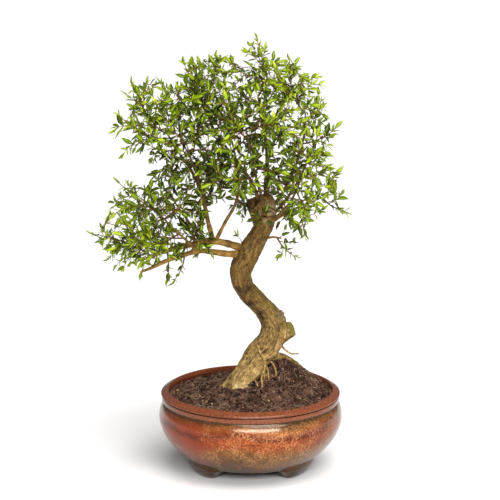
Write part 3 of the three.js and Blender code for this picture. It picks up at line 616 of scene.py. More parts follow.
# Bark crumbs: bark milled for potting mix. They give matt grains, from nearly black to tan.
crumb_sizes = 0.0006 + 0.0024 * scatter.random(CRUMB_COUNT) ** 2.2
crumb_points, crumb_faces = lumps(on_bed(CRUMB_COUNT, scatter), crumb_sizes, scatter)
loose, tree, shader = material("bark_crumbs", Roughness=0.9, Specular_IOR_Level=0.2)
tone = node(tree, "Attribute", out="Fac", attribute_name="tone")
mottled = node(tree, "ValToRGB", Fac=tone, stops=[
    (0.0, "#0e0705"), (0.4, "#23140d"), (0.72, "#402a1e"), (0.92, "#624638"), (1.0, "#7d614f"),
])
give(shader, dict(Base_Color=mottled))
crumb_piece = mesh_piece("soil_crumbs", crumb_points, [crumb_faces], [loose], smooth=False)
noted(crumb_piece, "tone", np.repeat(scatter.random(CRUMB_COUNT), LUMP_CORNERS))
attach(crumb_piece, "root")

# Wood chips: dry splinters from the same mill. They give a few specks the colour of straw.
chip_sizes = scatter.uniform(0.0008, 0.0019, CHIP_COUNT)
chip_points, chip_faces = lumps(on_bed(CHIP_COUNT, scatter, 0.05), chip_sizes, scatter)
chip_wood, tree, shader = material("dry_wood_chips", Roughness=0.8)
place = node(tree, "TexCoord", out="Object")
spots = node(tree, "TexNoise", Vector=place, Scale=300.0, Detail=2.0)
straw = node(tree, "ValToRGB", Fac=spots, stops=[(0.35, "#8f6a30"), (0.65, "#cfae6a")])
give(shader, dict(Base_Color=straw))
chips = mesh_piece("wood_chips", chip_points, [chip_faces], [chip_wood], smooth=False)
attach(chips, "root")

# Coir fibre: combed out of coconut husk. It gives thin dry strands that lie across the crumbs,
# paler than the soil.
fibre_start = on_bed(FIBRE_COUNT, scatter, 0.0, 0.104)
fibre_turn = scatter.uniform(0, 2 * np.pi, FIBRE_COUNT)
fibre_length = scatter.uniform(0.005, 0.019, FIBRE_COUNT)
fibre_bend = scatter.uniform(-2.4, 2.4, FIBRE_COUNT)
along = np.linspace(0, 1, FIBRE_POINTS)
heading = fibre_turn[:, None] + fibre_bend[:, None] * along
stride = fibre_length[:, None] / (FIBRE_POINTS - 1)
fibre_x = fibre_start[:, :1] + np.cumsum(stride * np.cos(heading), 1)
fibre_y = fibre_start[:, 1:2] + np.cumsum(stride * np.sin(heading), 1)
inward = np.hypot(fibre_x - pot_middle[0], fibre_y - pot_middle[1]).max(1) < FIBRE_LIMIT
fibre_x, fibre_y = fibre_x[inward], fibre_y[inward]
flat_x, flat_y = fibre_x.ravel() - pot_middle[0], fibre_y.ravel() - pot_middle[1]
lying = (soil_height(flat_x, flat_y) + soil_relief(flat_x, flat_y)).reshape(fibre_x.shape)
arch = scatter.uniform(0.0, 0.0026, (len(fibre_x), 1)) * np.sin(np.pi * along)
fibre_paths = np.stack([fibre_x, fibre_y, lying + arch + 0.0002], -1)
fibre_radii = np.broadcast_to(scatter.uniform(0.00013, 0.00028, (len(fibre_x), 1)), fibre_x.shape)
fibre_points, fibre_faces = tubes(fibre_paths, fibre_radii, sides=4)
coir, tree, shader = material("coir_fibre", Roughness=0.75, Specular_IOR_Level=0.2)
tone = node(tree, "Attribute", out="Fac", attribute_name="tone")
dry = node(tree, "ValToRGB", Fac=tone, stops=[
    (0.0, "#27170f"), (0.5, "#5c4132"), (0.85, "#8e705a"), (1.0, "#b99b80"),
])
give(shader, dict(Base_Color=dry))
fibres = mesh_piece("coir_fibres", fibre_points, [fibre_faces], [coir])
corners_each = len(fibre_points) // len(fibre_x)
noted(fibres, "tone", np.repeat(scatter.random(len(fibre_x)), corners_each))
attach(fibres, "root")


# Trunk and roots
# The trunk grew in two bends from a crown of surface roots. Old cuts left a knob low on the
# right and a torn hollow at the top, and the bark is thin, ochre brown and cracked at the base.
MM = 0.001
TRUNK_LINE = [
    (-18, -9, 92, 18), (-8, -6, 131, 17), (4, -1, 147, 17.5), (15, 4, 162, 18), (30, 8, 181, 17.5),
    (32, 8, 201, 17), (20, 5, 222, 14), (4, 0, 240, 13.6), (-10, -4, 259, 14), (-14, -6, 276, 14.4),
    (-9, -5, 293, 15.6), (0, -2, 310, 15), (11, 2, 328, 13.4), (19, 5, 345, 13), (21, 6, 360, 13.6),
    (20, 6, 373, 14), (19, 6, 384, 9),
]
ROOT_LINES = [
    ([(-6, -4, 140), (-16, -1, 132), (-26, 3, 122), (-38, 8, 106)], 13, 3.5),
    ([(-4, -6, 134), (-8, -12, 127), (-11, -18, 120), (-14, -26, 104)], 14, 4),
    ([(18, 10, 156), (42, 18, 151), (66, 28, 135), (86, 40, 106)], 7, 2.2),
    ([(10, 10, 142), (18, 32, 128), (20, 52, 112), (18, 66, 98)], 14, 2.5),
    ([(0, 4, 138), (-14, 22, 124), (-28, 38, 110), (-38, 50, 96)], 12, 2.5),
    ([(16, 0, 152), (19, -7, 143), (20, -13, 134), (22, -22, 112)], 6, 2),
    ([(-12, -12, 132), (-21, -19, 121), (-33, -23, 106)], 7, 2.4),
    ([(-22, -2, 128), (-34, -6, 118), (-46, -10, 104)], 6.5, 2),
    ([(-6, -16, 130), (-4, -27, 120), (1, -38, 106)], 5.5, 1.8),
]
KNOB_LINE = ([(24, 9, 174), (40, 7, 187), (57, 3, 196)], 17, 10.5)
HOLLOW_LINE = ([(17, 5, 344), (10, 2, 362), (4, -2, 376)], 13, 12)
BURR = ((41, 5, 216), 6.5)
BARK_VOXEL = 0.0009
TRUNK_STEPS = 150
TRUNK_SIDES = 64
TRUNK_RUN = 0.36
BAR_STEPS = 40


def placed(points):
    """Places in millimetres from the pot's middle, as metres in the frame."""
    return np.asarray(points, float)[:, :3] * MM + pot_middle


trunk_knots = np.array(TRUNK_LINE, float)
trunk_axis = smooth_path(np.hstack([placed(trunk_knots), trunk_knots[:, 3:] * MM]), TRUNK_STEPS)
share = np.linspace(0, 1, TRUNK_STEPS)[:, None]
turn = circle(TRUNK_SIDES)[None]
flutes = 1 + 0.05 * (np.sin(3 * turn + 7 * share) + 0.6 * np.sin(5 * turn - 4))


def swept(axis, sides, section=1.0):
    """The rings of one bar along an axis of places and radii, squeezed to a point at both ends.
    The section scales the radius by a factor for each step and angle."""
    rings = rings_round(axis[None, :, :3], (axis[:, 3:] * section)[None], sides)[0]
    first = np.broadcast_to(axis[0, :3], (1, sides, 3))
    last = np.broadcast_to(axis[-1, :3], (1, sides, 3))
    return np.concatenate([first, rings, last])


def tapered(line, start, end, count, flare=0.0, fall=1.0):
    """An axis through the line's points whose radius goes from start to end by a power of the
    way along it, with a flare that swells its first few steps."""
    share = np.linspace(0, 1, count)
    radius = (start + (end - start) * share**fall) * (1 + flare * np.exp(-8 * share)) * MM
    return np.hstack([smooth_path(placed(line), count), radius[:, None]])


def hollow_bar(line, start, end, count, sides, depth):
    """A bar whose far end is a torn hollow: the wall runs up to a ragged lip, turns over it and
    goes back down inside to a point, and the lip's height changes with the angle."""
    axis = tapered(line, start, end, count)
    angle = circle(sides)
    rough = np.stack([np.cos(angle), np.sin(angle), np.zeros(sides)], 1)
    rag = 0.0035 * lattice_noise(rough, 0.5, 21) + 0.002 * lattice_noise(rough, 0.17, 22)
    way = unit(axis[-1, :3] - axis[-2, :3])
    lift = np.linspace(0, 1, count + 1)[:, None] ** 3 * rag
    outside = swept(axis, sides)[:-1] + lift[..., None] * way
    rim = outside[-1]
    middle = rim.mean(0)
    inner_shares = np.array([0.82, 0.7, 0.62, 0.5, 0.3, 0.0])
    drops = np.array([-0.0004, 0.3, 0.6, 0.85, 0.97, 1.0]) * depth
    inside = middle + (rim - middle) * inner_shares[:, None, None] - drops[:, None, None] * way
    return np.concatenate([outside, inside])


bars = [swept(trunk_axis, TRUNK_SIDES, flutes)]
bars += [swept(tapered(*root, BAR_STEPS), sides=28) for root in ROOT_LINES]
bars.append(swept(tapered(*KNOB_LINE, count=30), sides=36))
bars.append(hollow_bar(*HOLLOW_LINE, BAR_STEPS, sides=48, depth=0.016))
burr_points, burr_faces = lumps(placed([BURR[0]]), np.array([BURR[1] * MM]), np.random.default_rng(3))
trunk_points = [bar.reshape(-1, 3) for bar in bars] + [burr_points]
trunk_face_sets = []
offset = 0
for bar in bars:
    trunk_face_sets.append(halved(grid_faces(*bar.shape[:2])) + offset)
    offset += bar.shape[0] * bar.shape[1]
trunk_face_sets.append(burr_faces + offset)


# Bark
# Thin bark over living wood: pale ochre and cracked into strips at the base, browner and darker
# above, partly as painted shade under the crown. Its cracks, pits and small checks are dark, the
# cracks and pits partly as painted shade in their hollows, the fronts of the bends carry darker
# blotches, and algae grows where rain stays. A paler patch on the trunk's top is painted light,
# and the inside of the torn hollow is painted nearly black as painted shade.
bark, tree, shader = material("thin_ochre_bark", Roughness=0.8, Specular_IOR_Level=0.25)
place = node(tree, "TexCoord", out="Object")
level = node(tree, "SeparateXYZ", Vector=place, out="Z")
# Painted shade: above the base the bark turns to a darker copy of its ramp, where the crown shades the
# trunk; it is also browner there.
higher_and_shaded = node(tree, "MapRange", Value=level, From_Min=0.14, From_Max=0.24)
broad = node(tree, "TexNoise", Vector=place, Scale=75.0, Detail=4.0, Roughness=0.65)
fine = node(tree, "TexNoise", Vector=place, Scale=480.0, Detail=4.0, Roughness=0.7)
grown = node(tree, "Attribute", out="Vector", attribute_name="grown")
strips = node(tree, "TexNoise", Vector=grown, Scale=380.0, Detail=5.0, Roughness=0.8)
part = node(tree, "Math", [strips, 0.68], operation="MULTIPLY")
mixed = node(tree, "Math", [broad, 0.32, part], operation="MULTIPLY_ADD")
pale_bark = node(tree, "ValToRGB", Fac=mixed, stops=[
    (0.37, "#43300f"), (0.45, "#856838"), (0.53, "#b09056"), (0.64, "#d6bb80"),
])
brown_and_shaded_bark = node(tree, "ValToRGB", Fac=mixed, stops=[
    (0.37, "#291907"), (0.45, "#503915"), (0.53, "#6e5221"), (0.64, "#90743a"),
])
tint = node(tree, "Mix", {0: higher_and_shaded, 6: pale_bark, 7: brown_and_shaded_bark}, out=2, data_type="RGBA")
checks = node(tree, "TexNoise", Vector=grown, Scale=900.0, Detail=2.0)
checked = node(tree, "MapRange", Value=checks, From_Min=0.43, From_Max=0.34, To_Max=0.75)
tint = node(tree, "Mix", {0: checked, 6: tint, 7: linear("#2b1a0d")}, out=2, data_type="RGBA")
# The hollow mark is painted shade, part of the pale mark is painted light, and the recess mark is partly
# painted shade.
for mark, code in [
    ("cracks_and_recess_shade", "#2b1a0d"), ("bend_blotches", "#26150d"), ("algae", "#736a20"), ("pale", "#e4cc98"),
    ("burr", "#6c624f"), ("hollow", "#0d0604"),
]:
    share = node(tree, "Attribute", out="Fac", attribute_name=mark)
    tint = node(tree, "Mix", {0: share, 6: tint, 7: linear(code)}, out=2, data_type="RGBA")
fibrous = node(tree, "Bump", Strength=0.8, Distance=0.0014, Height=strips)
rough = node(tree, "Bump", Strength=0.6, Distance=0.0008, Height=fine, Normal=fibrous)
give(shader, dict(Base_Color=tint, Normal=rough))

trunk = mesh_piece("trunk_and_roots", np.vstack(trunk_points), [np.vstack(trunk_face_sets)], [bark])
merged(trunk)


def fuse(piece, voxel):
    """Fuses a piece's overlapping bars into one skin of small even faces."""
    remesh = piece.modifiers.new("fuse", "REMESH")
    remesh.mode = "VOXEL"
    remesh.voxel_size = voxel
    graph = bpy.context.evaluated_depsgraph_get()
    fused = bpy.data.meshes.new_from_object(piece.evaluated_get(graph))
    piece.modifiers.clear()
    piece.data = fused


def vectors_of(items, name):
    """One vector for each of a mesh's items, such as its points' places, as an array."""
    values = np.zeros(len(items) * 3, np.float32)
    items.foreach_get(name, values)
    return values.reshape(-1, 3).astype(float)


def move_points(mesh, points):
    """Gives a mesh's points new places."""
    mesh.vertices.foreach_set("co", points.astype(np.float32).ravel())
    mesh.update()


def relaxed(mesh, points, rounds):
    """Moves each point half way to the mean of its neighbours, and then half as far back out, so
    that facets go and the form keeps its girth."""
    edges = np.zeros(len(mesh.edges) * 2, np.int32)
    mesh.edges.foreach_get("vertices", edges)
    one, other = edges.reshape(-1, 2).T
    share = 1 / np.maximum(np.bincount(edges, minlength=len(points)), 1)[:, None]
    for pull in [0.5, -0.52] * rounds:
        total = np.zeros_like(points)
        for axis in range(3):
            total[:, axis] += np.bincount(one, points[other, axis], len(points))
            total[:, axis] += np.bincount(other, points[one, axis], len(points))
        points = points + pull * (total * share - points)
    return points


def nearest_on(points, axis):
    """For each point the step of the axis that lies nearest."""
    best = np.zeros(len(points), int)
    for start in range(0, len(points), 4000):
        gaps = points[start:start + 4000, None] - axis[None]
        best[start:start + 4000] = np.argmin((gaps**2).sum(2), axis=1)
    return best


def ball_share(points, middle, radius):
    """A soft ball: 1 at its middle and falling to 0 past its radius."""
    away = np.linalg.norm(points - placed([middle])[0], axis=1) / (radius * MM)
    return np.clip(1.5 - 1.5 * away, 0, 1)


fuse(trunk, BARK_VOXEL)
points = relaxed(trunk.data, vectors_of(trunk.data.vertices, "co"), 3)
move_points(trunk.data, points)
outward = vectors_of(trunk.data.vertex_normals, "vector")
step = nearest_on(points, trunk_axis[:, :3])
local = points - trunk_axis[step, :3]
trunk_way = unit(np.gradient(trunk_axis[:, :3], axis=0))[step]
beyond = (local * trunk_way).sum(1)
run = step / (TRUNK_STEPS - 1) * TRUNK_RUN + beyond
local = local - trunk_way * beyond[:, None]
x, y, z = local.T
lengthwise = np.stack([x, y + 0.3 * z, run * 0.3 + 0.2 * z], 1)
crosswise = np.stack([x * 0.5, y * 0.5, run + 0.6 * z + 0.2 * x], 1)
lump = lattice_noise(points, 0.019, 31)
ridge = lattice_noise(lengthwise, 0.0052, 32)
grain = lattice_noise(points, 0.0026, 33)
fissure = np.clip(1 - 5.5 * np.abs(lattice_noise(lengthwise, 0.0048, 40)), 0, 1)
breaks = np.clip(1 - 5.0 * np.abs(lattice_noise(crosswise, 0.0044, 35)), 0, 1)
scaly = np.clip(0.6 + 0.8 * lattice_noise(points, 0.011, 41), 0.1, 1)
pits = np.clip((lattice_noise(points, 0.0038, 34) - 0.62) * 5, 0, 1)
cracked = np.clip(fissure + 0.7 * breaks, 0, 1) * scaly
burred = ball_share(points, BURR[0], 2 * BURR[1])
knots = 0.0032 * burred * lattice_noise(points, 0.0042, 42)
height = 0.0011 * lump + 0.0006 * ridge + 0.00045 * grain - 0.001 * pits - 0.0009 * cracked + knots
points = points + outward * height[:, None]
move_points(trunk.data, points)

# Darker blotches on the fronts of the trunk's bends.
blotch_cloud = 0.45 + 1.3 * lattice_noise(points, 0.007, 36) + 0.7 * lattice_noise(points, 0.003, 37)
bends = sum(ball_share(points, *ball) for ball in [
    ((-6, -14, 260), 17), ((2, -12, 237), 16), ((11, -10, 214), 17), ((-2, -8, 196), 14),
])
knob_way = unit(np.array([0.85, -0.1, 0.5]))
cut = np.clip((outward @ knob_way - 0.75) * 6, 0, 1) * ball_share(points, (58, 3, 197), 18)
wet_side = np.clip(outward @ np.array([0.8, -0.1, 0.45]) * 1.4 - 0.5, 0, 1)
root_tip = ball_share(points, (-14, -28, 118), 13) + 0.6 * ball_share(points, (-36, 6, 112), 16)
algae = 0.3 * wet_side * (0.5 + lattice_noise(points, 0.012, 38)) + 0.8 * cut
# Painted light: a paler patch on the trunk's top stands in for light that the crown keeps off it, added
# to the pale root tips.
root_tips_and_painted_light_top = root_tip + 0.5 * ball_share(points, (27, -2, 362), 20)
for mark, values, most in [
    # Cracks, pits and low spots are darkened: partly their own dark colour, partly painted shade.
    ("cracks_and_recess_shade", 0.45 * cracked + 0.6 * pits - 0.3 * ridge - 0.2 * grain, 0.75),
    ("bend_blotches", bends * blotch_cloud, 0.9),
    ("algae", algae, 0.85),
    ("pale", root_tips_and_painted_light_top * (0.6 + 0.6 * lattice_noise(points, 0.004, 39)), 0.85),
    ("burr", burred * (0.5 + 0.8 * lattice_noise(points, 0.003, 43)), 0.75),
    # Painted shade: the inside of the torn hollow is painted nearly black.
    ("hollow", ball_share(points, (0, -5, 377), 14) * 1.6, 0.97),
]:
    noted(trunk, mark, np.clip(values, 0, most))
grown_along = (lengthwise * [1.0, 1.0, 0.7]).astype(np.float32).ravel()
trunk.data.attributes.new("grown", "FLOAT_VECTOR", "POINT").data.foreach_set("vector", grown_along)
trunk.data.polygons.foreach_set("use_smooth", np.ones(len(trunk.data.polygons), bool))
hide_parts("trunk")
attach(trunk, "root")


# Limbs
# Seventeen limbs leave the trunk, thin and tapering, with a collar where each one starts. Two
# run side by side to the left, and the others rise and fan out under the crown. Five thin air
# roots hang from the trunk's base into the soil.
LIMB_LINES = [
    ([(-12, -3, 312), (-31, -6, 319), (-51, -8, 323), (-77, -6, 318), (-98, -4, 313), (-118, -1, 306),
      (-136, 3, 298), (-150, 8, 291)], 4.6, 1.3),
    ([(-14, -6, 304), (-33, -14, 307), (-51, -16, 310), (-68, -14, 311), (-96, -13, 303),
      (-118, -13, 295), (-134, -13, 287), (-149, -13, 281)], 4, 1.7),
    ([(-50, -8, 321), (-58, -6, 352), (-64, -2, 382), (-78, 2, 415), (-98, 4, 446),
      (-112, 2, 470)], 2.9, 1.0),
    ([(-48, -8, 322), (-34, -4, 349), (-20, 2, 374), (-16, 12, 404), (-22, 26, 440),
      (-30, 38, 470)], 2.2, 0.9),
    ([(22, 6, 362), (24, 8, 400), (22, 8, 440), (16, 10, 480), (10, 8, 520)], 2.4, 0.9),
    ([(14, 4, 366), (4, 2, 398), (-20, -6, 436), (-46, -10, 474), (-64, -8, 512)], 2.4, 0.9),
    ([(25, 6, 360), (46, 4, 392), (62, -2, 430), (72, -4, 470), (74, -4, 500)], 2.3, 0.9),
    ([(28, 6, 345), (50, 4, 360), (74, 2, 372), (96, -2, 382)], 1.6, 0.9),
    ([(16, 4, 322), (30, 2, 326), (42, 0, 325)], 1.8, 1.1),
    ([(20, 14, 356), (20, 36, 384), (22, 54, 420), (20, 66, 456), (14, 70, 490)], 2.4, 0.9),
    ([(28, 10, 352), (50, 30, 374), (70, 44, 404), (82, 50, 436)], 2.2, 0.9),
    ([(20, -4, 356), (16, -26, 384), (8, -46, 420), (0, -58, 458), (-6, -62, 492)], 2.3, 0.9),
    ([(28, -2, 350), (46, -26, 372), (62, -44, 404), (72, -50, 436)], 2.1, 0.9),
    ([(-66, -6, 320), (-80, 16, 338), (-96, 34, 356), (-112, 44, 378)], 1.9, 0.8),
    ([(-70, -14, 310), (-86, -32, 330), (-104, -44, 350), (-122, -48, 372)], 1.9, 0.8),
    ([(-60, -5, 364), (-66, 18, 392), (-80, 36, 424), (-96, 44, 456)], 1.9, 0.8),
    ([(-66, -3, 386), (-70, -24, 412), (-78, -42, 440), (-86, -50, 470)], 1.9, 0.8),
]
ROOTLET_LINES = [
    ([(9, -6, 176), (13, -14, 168), (19, -19, 158), (19, -23, 146), (15, -27, 137), (16, -34, 126),
      (11, -42, 117), (12, -50, 104)], 1.5, 1.1),
    ([(38, 9, 178), (47, 6, 166), (56, 3, 161), (66, 0, 162)], 2, 0.9),
    ([(-6, -14, 140), (-1, -24, 137), (6, -30, 133), (11, -33, 121), (12, -36, 110)], 1.2, 0.8),
    ([(18, -8, 150), (24, -17, 142), (25, -21, 133), (29, -26, 116)], 1.2, 0.8),
    ([(28, -4, 152), (33, -9, 145), (35, -13, 136), (34, -17, 118)], 1.3, 0.8),
]
LIMB_STEPS = 72


def knobbly(axis, seed):
    """Small swellings along a limb where leaves and twigs once grew."""
    coarse, small = lattice_noise(axis[:, :3], 0.006, seed), lattice_noise(axis[:, :3], 0.0025, seed)
    wave = 1 + 0.12 * coarse + 0.05 * small
    return np.hstack([axis[:, :3], axis[:, 3:] * wave[:, None]])


limb_axes = np.stack([
    knobbly(tapered(line, start, end, LIMB_STEPS, 0.35, 2.4 if i < 2 else 1.4), 50 + i)
    for i, (line, start, end) in enumerate(LIMB_LINES)
])
limb_points, limb_faces = tubes(limb_axes[..., :3], limb_axes[..., 3], 12)
rootlet_axes = np.stack([
    knobbly(tapered(line, start, end, LIMB_STEPS), 80 + i)
    for i, (line, start, end) in enumerate(ROOTLET_LINES)
])
rootlet_points, rootlet_faces = tubes(rootlet_axes[..., :3], rootlet_axes[..., 3], 8)

# Young bark: the thin skin of a few years' growth, ochre brown and nearly smooth. Inside the
# crown it is painted darker, as painted shade.
young_bark, tree, shader = material("young_brown_bark", Roughness=0.7, Specular_IOR_Level=0.25)
place = node(tree, "TexCoord", out="Object")
broad = node(tree, "TexNoise", Vector=place, Scale=110.0, Detail=3.0)
fine = node(tree, "TexNoise", Vector=place, Scale=650.0, Detail=3.0, Roughness=0.7)
part = node(tree, "Math", [fine, 0.45], operation="MULTIPLY")
tone = node(tree, "Math", [broad, 0.55, part], operation="MULTIPLY_ADD")
brown = node(tree, "ValToRGB", Fac=tone, stops=[
    (0.32, "#33200c"), (0.46, "#644719"), (0.58, "#8b692b"), (0.74, "#ae8d49"),
])
level = node(tree, "SeparateXYZ", Vector=place, out="Z")
# Painted shade: limbs are darkened above the trunk's top, inside the crown.
inside = node(tree, "MapRange", Value=level, From_Min=0.345, From_Max=0.4, To_Max=0.75)
brown = node(tree, "Mix", {0: inside, 6: brown, 7: linear("#2c200d")}, out=2, data_type="RGBA")
rough = node(tree, "Bump", Strength=0.5, Distance=0.0005, Height=fine)
give(shader, dict(Base_Color=brown, Normal=rough))

limbs = mesh_piece("limbs", limb_points, [limb_faces], [young_bark])
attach(limbs, "root")

# Root skin: the thin cork of air roots. It gives pale tan strands in front of the dark soil.
root_skin, tree, shader = material("pale_root_skin", Roughness=0.75, Specular_IOR_Level=0.25)
place = node(tree, "TexCoord", out="Object")
rings = node(tree, "TexNoise", Vector=place, Scale=380.0, Detail=3.0, Roughness=0.7)
tan = node(tree, "ValToRGB", Fac=rings, stops=[
    (0.34, "#573d1d"), (0.5, "#94733f"), (0.66, "#c0a06a"),
])
wrinkled = node(tree, "Bump", Strength=0.5, Distance=0.0006, Height=rings)
give(shader, dict(Base_Color=tan, Normal=wrinkled))
rootlets = mesh_piece("rootlets", rootlet_points, [rootlet_faces], [root_skin])
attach(rootlets, "root")


# Leafy sprays
# Each spray is a thin stem with side shoots and pairs of narrow pointed leaves. It grows from
# the limb where the frame's own solid starts, and its shoots reach that solid's furthest tips.
CROWN_MIDDLE = placed([(-30, 0, 430)])[0]
CROWN_HALF = np.array([0.15, 0.10, 0.16])
LEAF_LENGTH = 0.0152
LEAF_WIDTH = 0.0054
LEAF_THICKNESS = 0.0004
PAIR_SPACING = 0.0062
STEM_RADII = (0.00115, 0.0005)
SHOOT_RADII = (0.00062, 0.00034)
STEM_STEPS = 14
LOOK_DOWN = 0.26
BARE_TRUNK_LEVEL = 386
STATIONS = np.array([0.0, 0.16, 0.38, 0.6, 0.82, 1.0])
ACROSS = np.array([-1.0, 0.0, 1.0])


def blade_pattern():
    """The faces of one blade. Its upper and lower sheets share the rim and both ends, so the
    blade is closed. Returns which grid corners are used and the faces between them."""
    rows, columns = len(STATIONS), len(ACROSS)
    upper = np.arange(rows * columns).reshape(rows, columns)
    upper[0] = upper[0, 0]
    upper[-1] = upper[-1, 0]
    lower = upper.copy()
    lower[1:-1, 1:-1] = rows * columns + np.arange((rows - 2) * (columns - 2)).reshape(rows - 2, -1)
    sheets = []
    for index in (upper, lower):
        quads = np.stack([index[:-1, :-1], index[1:, :-1], index[1:, 1:], index[:-1, 1:]], -1)
        sheets.append(halved(quads.reshape(-1, 4)))
    faces = np.vstack([sheets[0][:, ::-1], sheets[1]])
    real = (faces[:, 0] != faces[:, 1]) & (faces[:, 1] != faces[:, 2]) & (faces[:, 2] != faces[:, 0])
    corners, faces = np.unique(faces[real], return_inverse=True)
    return corners, faces.reshape(-1, 3)


BLADE_CORNERS, BLADE_FACES = blade_pattern()
grid_places = np.stack(np.meshgrid(STATIONS, ACROSS, indexing="ij"), -1)
inner_places = grid_places[1:-1, 1:-1].reshape(-1, 2)
BLADE_MAP = np.concatenate([grid_places.reshape(-1, 2), inner_places])[BLADE_CORNERS]
BLADE_SIDE = (BLADE_CORNERS >= len(STATIONS) * len(ACROSS)).astype(float)


def blades(roots, ways, tops, lengths, widths, folds, curls):
    """Blades. Along its length the half width follows a sine that is fullest before the middle,
    the halves fold up from the midrib, the tip curls down, and the margins wave a little."""
    ways = unit(ways)
    sides = unit(np.cross(ways, tops))
    tops = np.cross(sides, ways)
    lengths, widths, folds, curls = (values[:, None, None] for values in (lengths, widths, folds, curls))
    s = STATIONS[None, :, None]
    v = ACROSS[None, None, :]
    half = widths / 2 * np.sin(np.pi * s**0.86) ** 0.9
    out = half * v * np.cos(folds)
    wave = 0.12 * half * np.sin(11 * s + 5 * v + 30 * curls) * v**2
    lift = half * np.abs(v) * np.sin(folds) - curls * lengths * s**2 + wave
    forward = lengths * (s - 0.4 * curls * s**3) * np.ones_like(v)
    swell = LEAF_THICKNESS / 2 * (1 - v**2) * np.sin(np.pi * s) ** 0.4
    body = roots[:, None, None] + forward[..., None] * ways[:, None, None]
    body = body + out[..., None] * sides[:, None, None]
    upper = body + (lift + swell)[..., None] * tops[:, None, None]
    lower = body + (lift - swell)[..., None] * tops[:, None, None]
    count = len(roots)
    sheets = np.concatenate([upper.reshape(count, -1, 3), lower[:, 1:-1, 1:-1].reshape(count, -1, 3)], 1)
    return sheets[:, BLADE_CORNERS]


# Leaf: a thin leathery blade, glossy green above and paler below, with a light midrib. Young
# leaves at the shoot's tip are yellower, and those inside the crown and low in it are painted dark
# as painted shade.
leaf, tree, shader = material(
    "glossy_leaf_blade", Roughness=0.27, IOR=1.45, Specular_IOR_Level=0.42,
    Specular_Tint=linear("#f3f4ac"))
tone = node(tree, "Attribute", out="Fac", attribute_name="tone")
below = node(tree, "Attribute", out="Fac", attribute_name="below")
place = node(tree, "TexCoord", out="Object")
blotch = node(tree, "TexNoise", Vector=place, Scale=210.0, Detail=2.0)
mixed = node(tree, "Math", [blotch, 0.3, tone], operation="MULTIPLY_ADD")
green = node(tree, "ValToRGB", Fac=mixed, stops=[
    (0.12, "#0c1400"), (0.36, "#2d4001"), (0.6, "#718b05"), (0.83, "#98ac18"), (1.0, "#b9c444"),
])
blade_place = node(tree, "UVMap", uv_map="blade")
across = node(tree, "SeparateXYZ", Vector=blade_place, out="Y")
off_rib = node(tree, "Math", [across, 0.5], operation="SUBTRACT")
off_rib = node(tree, "Math", [off_rib], operation="ABSOLUTE")
rib = node(tree, "MapRange", Value=off_rib, From_Min=0.055, From_Max=0.015, To_Max=0.45)
veined = node(tree, "Mix", {0: rib, 6: green, 7: linear("#a9b450")}, out=2, data_type="RGBA")
under_share = node(tree, "Math", [below, 0.3], operation="MULTIPLY")
blade = node(tree, "Mix", {0: under_share, 6: veined, 7: linear("#8a9a3c")}, out=2, data_type="RGBA")
veins = node(tree, "TexNoise", Vector=place, Scale=900.0, Detail=2.0)
leathery = node(tree, "Bump", Strength=0.2, Distance=0.0003, Height=veins)
give(shader, dict(Base_Color=blade, Normal=leathery))

# Twig: this year's growth. It gives thin smooth lines, red brown at the foot and green towards
# the tip.
twig, tree, shader = material("red_brown_twig", Roughness=0.55, Specular_IOR_Level=0.3)
tone = node(tree, "Attribute", out="Fac", attribute_name="tone")
growth = node(tree, "ValToRGB", Fac=tone, stops=[
    (0.0, "#2e1d0b"), (0.4, "#5a3614"), (0.7, "#7c4a1c"), (1.0, "#857320"),
])
give(shader, dict(Base_Color=growth))


def leaves_along(path, bare, draws):
    """Leaves in crossed pairs along one shoot, from its bare foot to a last leaf at its tip:
    their roots, directions, top directions, sizes and shares of the way to the tip."""
    span = np.linalg.norm(np.diff(path, axis=0), axis=1).sum()
    pair_count = max(1, int((span - bare) / PAIR_SPACING))
    shares = (bare + PAIR_SPACING * (np.arange(pair_count) + draws.uniform(0.1, 0.5, pair_count))) / span
    shares = np.concatenate([np.clip(shares, 0.02, 0.97), [0.99]])
    exact = shares * (len(path) - 1)
    low = np.minimum(exact.astype(int), len(path) - 2)
    here = path[low] + (path[low + 1] - path[low]) * (exact - low)[:, None]
    axis = unit(np.gradient(path, axis=0))[low]
    guide = unit(np.cross(axis, [0.3, 0.2, 1.0]))
    other = np.cross(axis, guide)
    quarter = (np.arange(len(shares)) % 2) * np.pi / 2 + draws.uniform(0, np.pi)
    quarter = quarter + draws.uniform(-0.3, 0.3, len(shares))
    side = np.cos(quarter)[:, None] * guide + np.sin(quarter)[:, None] * other
    top = unit(0.8 * axis + 0.35 * unit(here - CROWN_MIDDLE) + [0, -0.1, 0.6])
    sizes = 0.56 + 0.34 * draws.random(len(shares)) + 0.55 * draws.random(len(shares)) ** 5
    sizes = sizes * (0.82 + 0.25 * np.sin(np.pi * shares))
    spread = draws.uniform(0.6, 1.1, len(shares)) - 0.3 * (shares > 0.97)
    pairs = [np.cos(spread)[:, None] * axis + flip * np.sin(spread)[:, None] * side for flip in (1, -1)]
    roots = np.vstack([here, here, here[-1:]])
    ways = np.vstack([*pairs, axis[-1:]])
    tops = np.vstack([top, top, unit(side[-1:] + [0, 0, 0.5])])
    partners = sizes * draws.uniform(0.85, 1.15, len(sizes))
    sizes = np.concatenate([sizes, partners, draws.uniform(0.7, 1.2, 1)])
    return roots, ways, tops, sizes, np.concatenate([shares, shares, [1.0]])


def as_seen(points):
    """Places in millimetres from the pot's middle, and the height at which the camera sees them:
    it looks a little down, so that what lies further back shows higher."""
    local = (points - pot_middle) / MM
    return local, local[..., 2] + LOOK_DOWN * local[..., 1]


def over_trunk(points):
    """Whether places lie in front of the trunk's top, where the bark shows."""
    local, level = as_seen(points)
    return (np.abs(local[:, 0] - 12) < 28) & (local[:, 1] < 4) & (level < BARE_TRUNK_LEVEL)


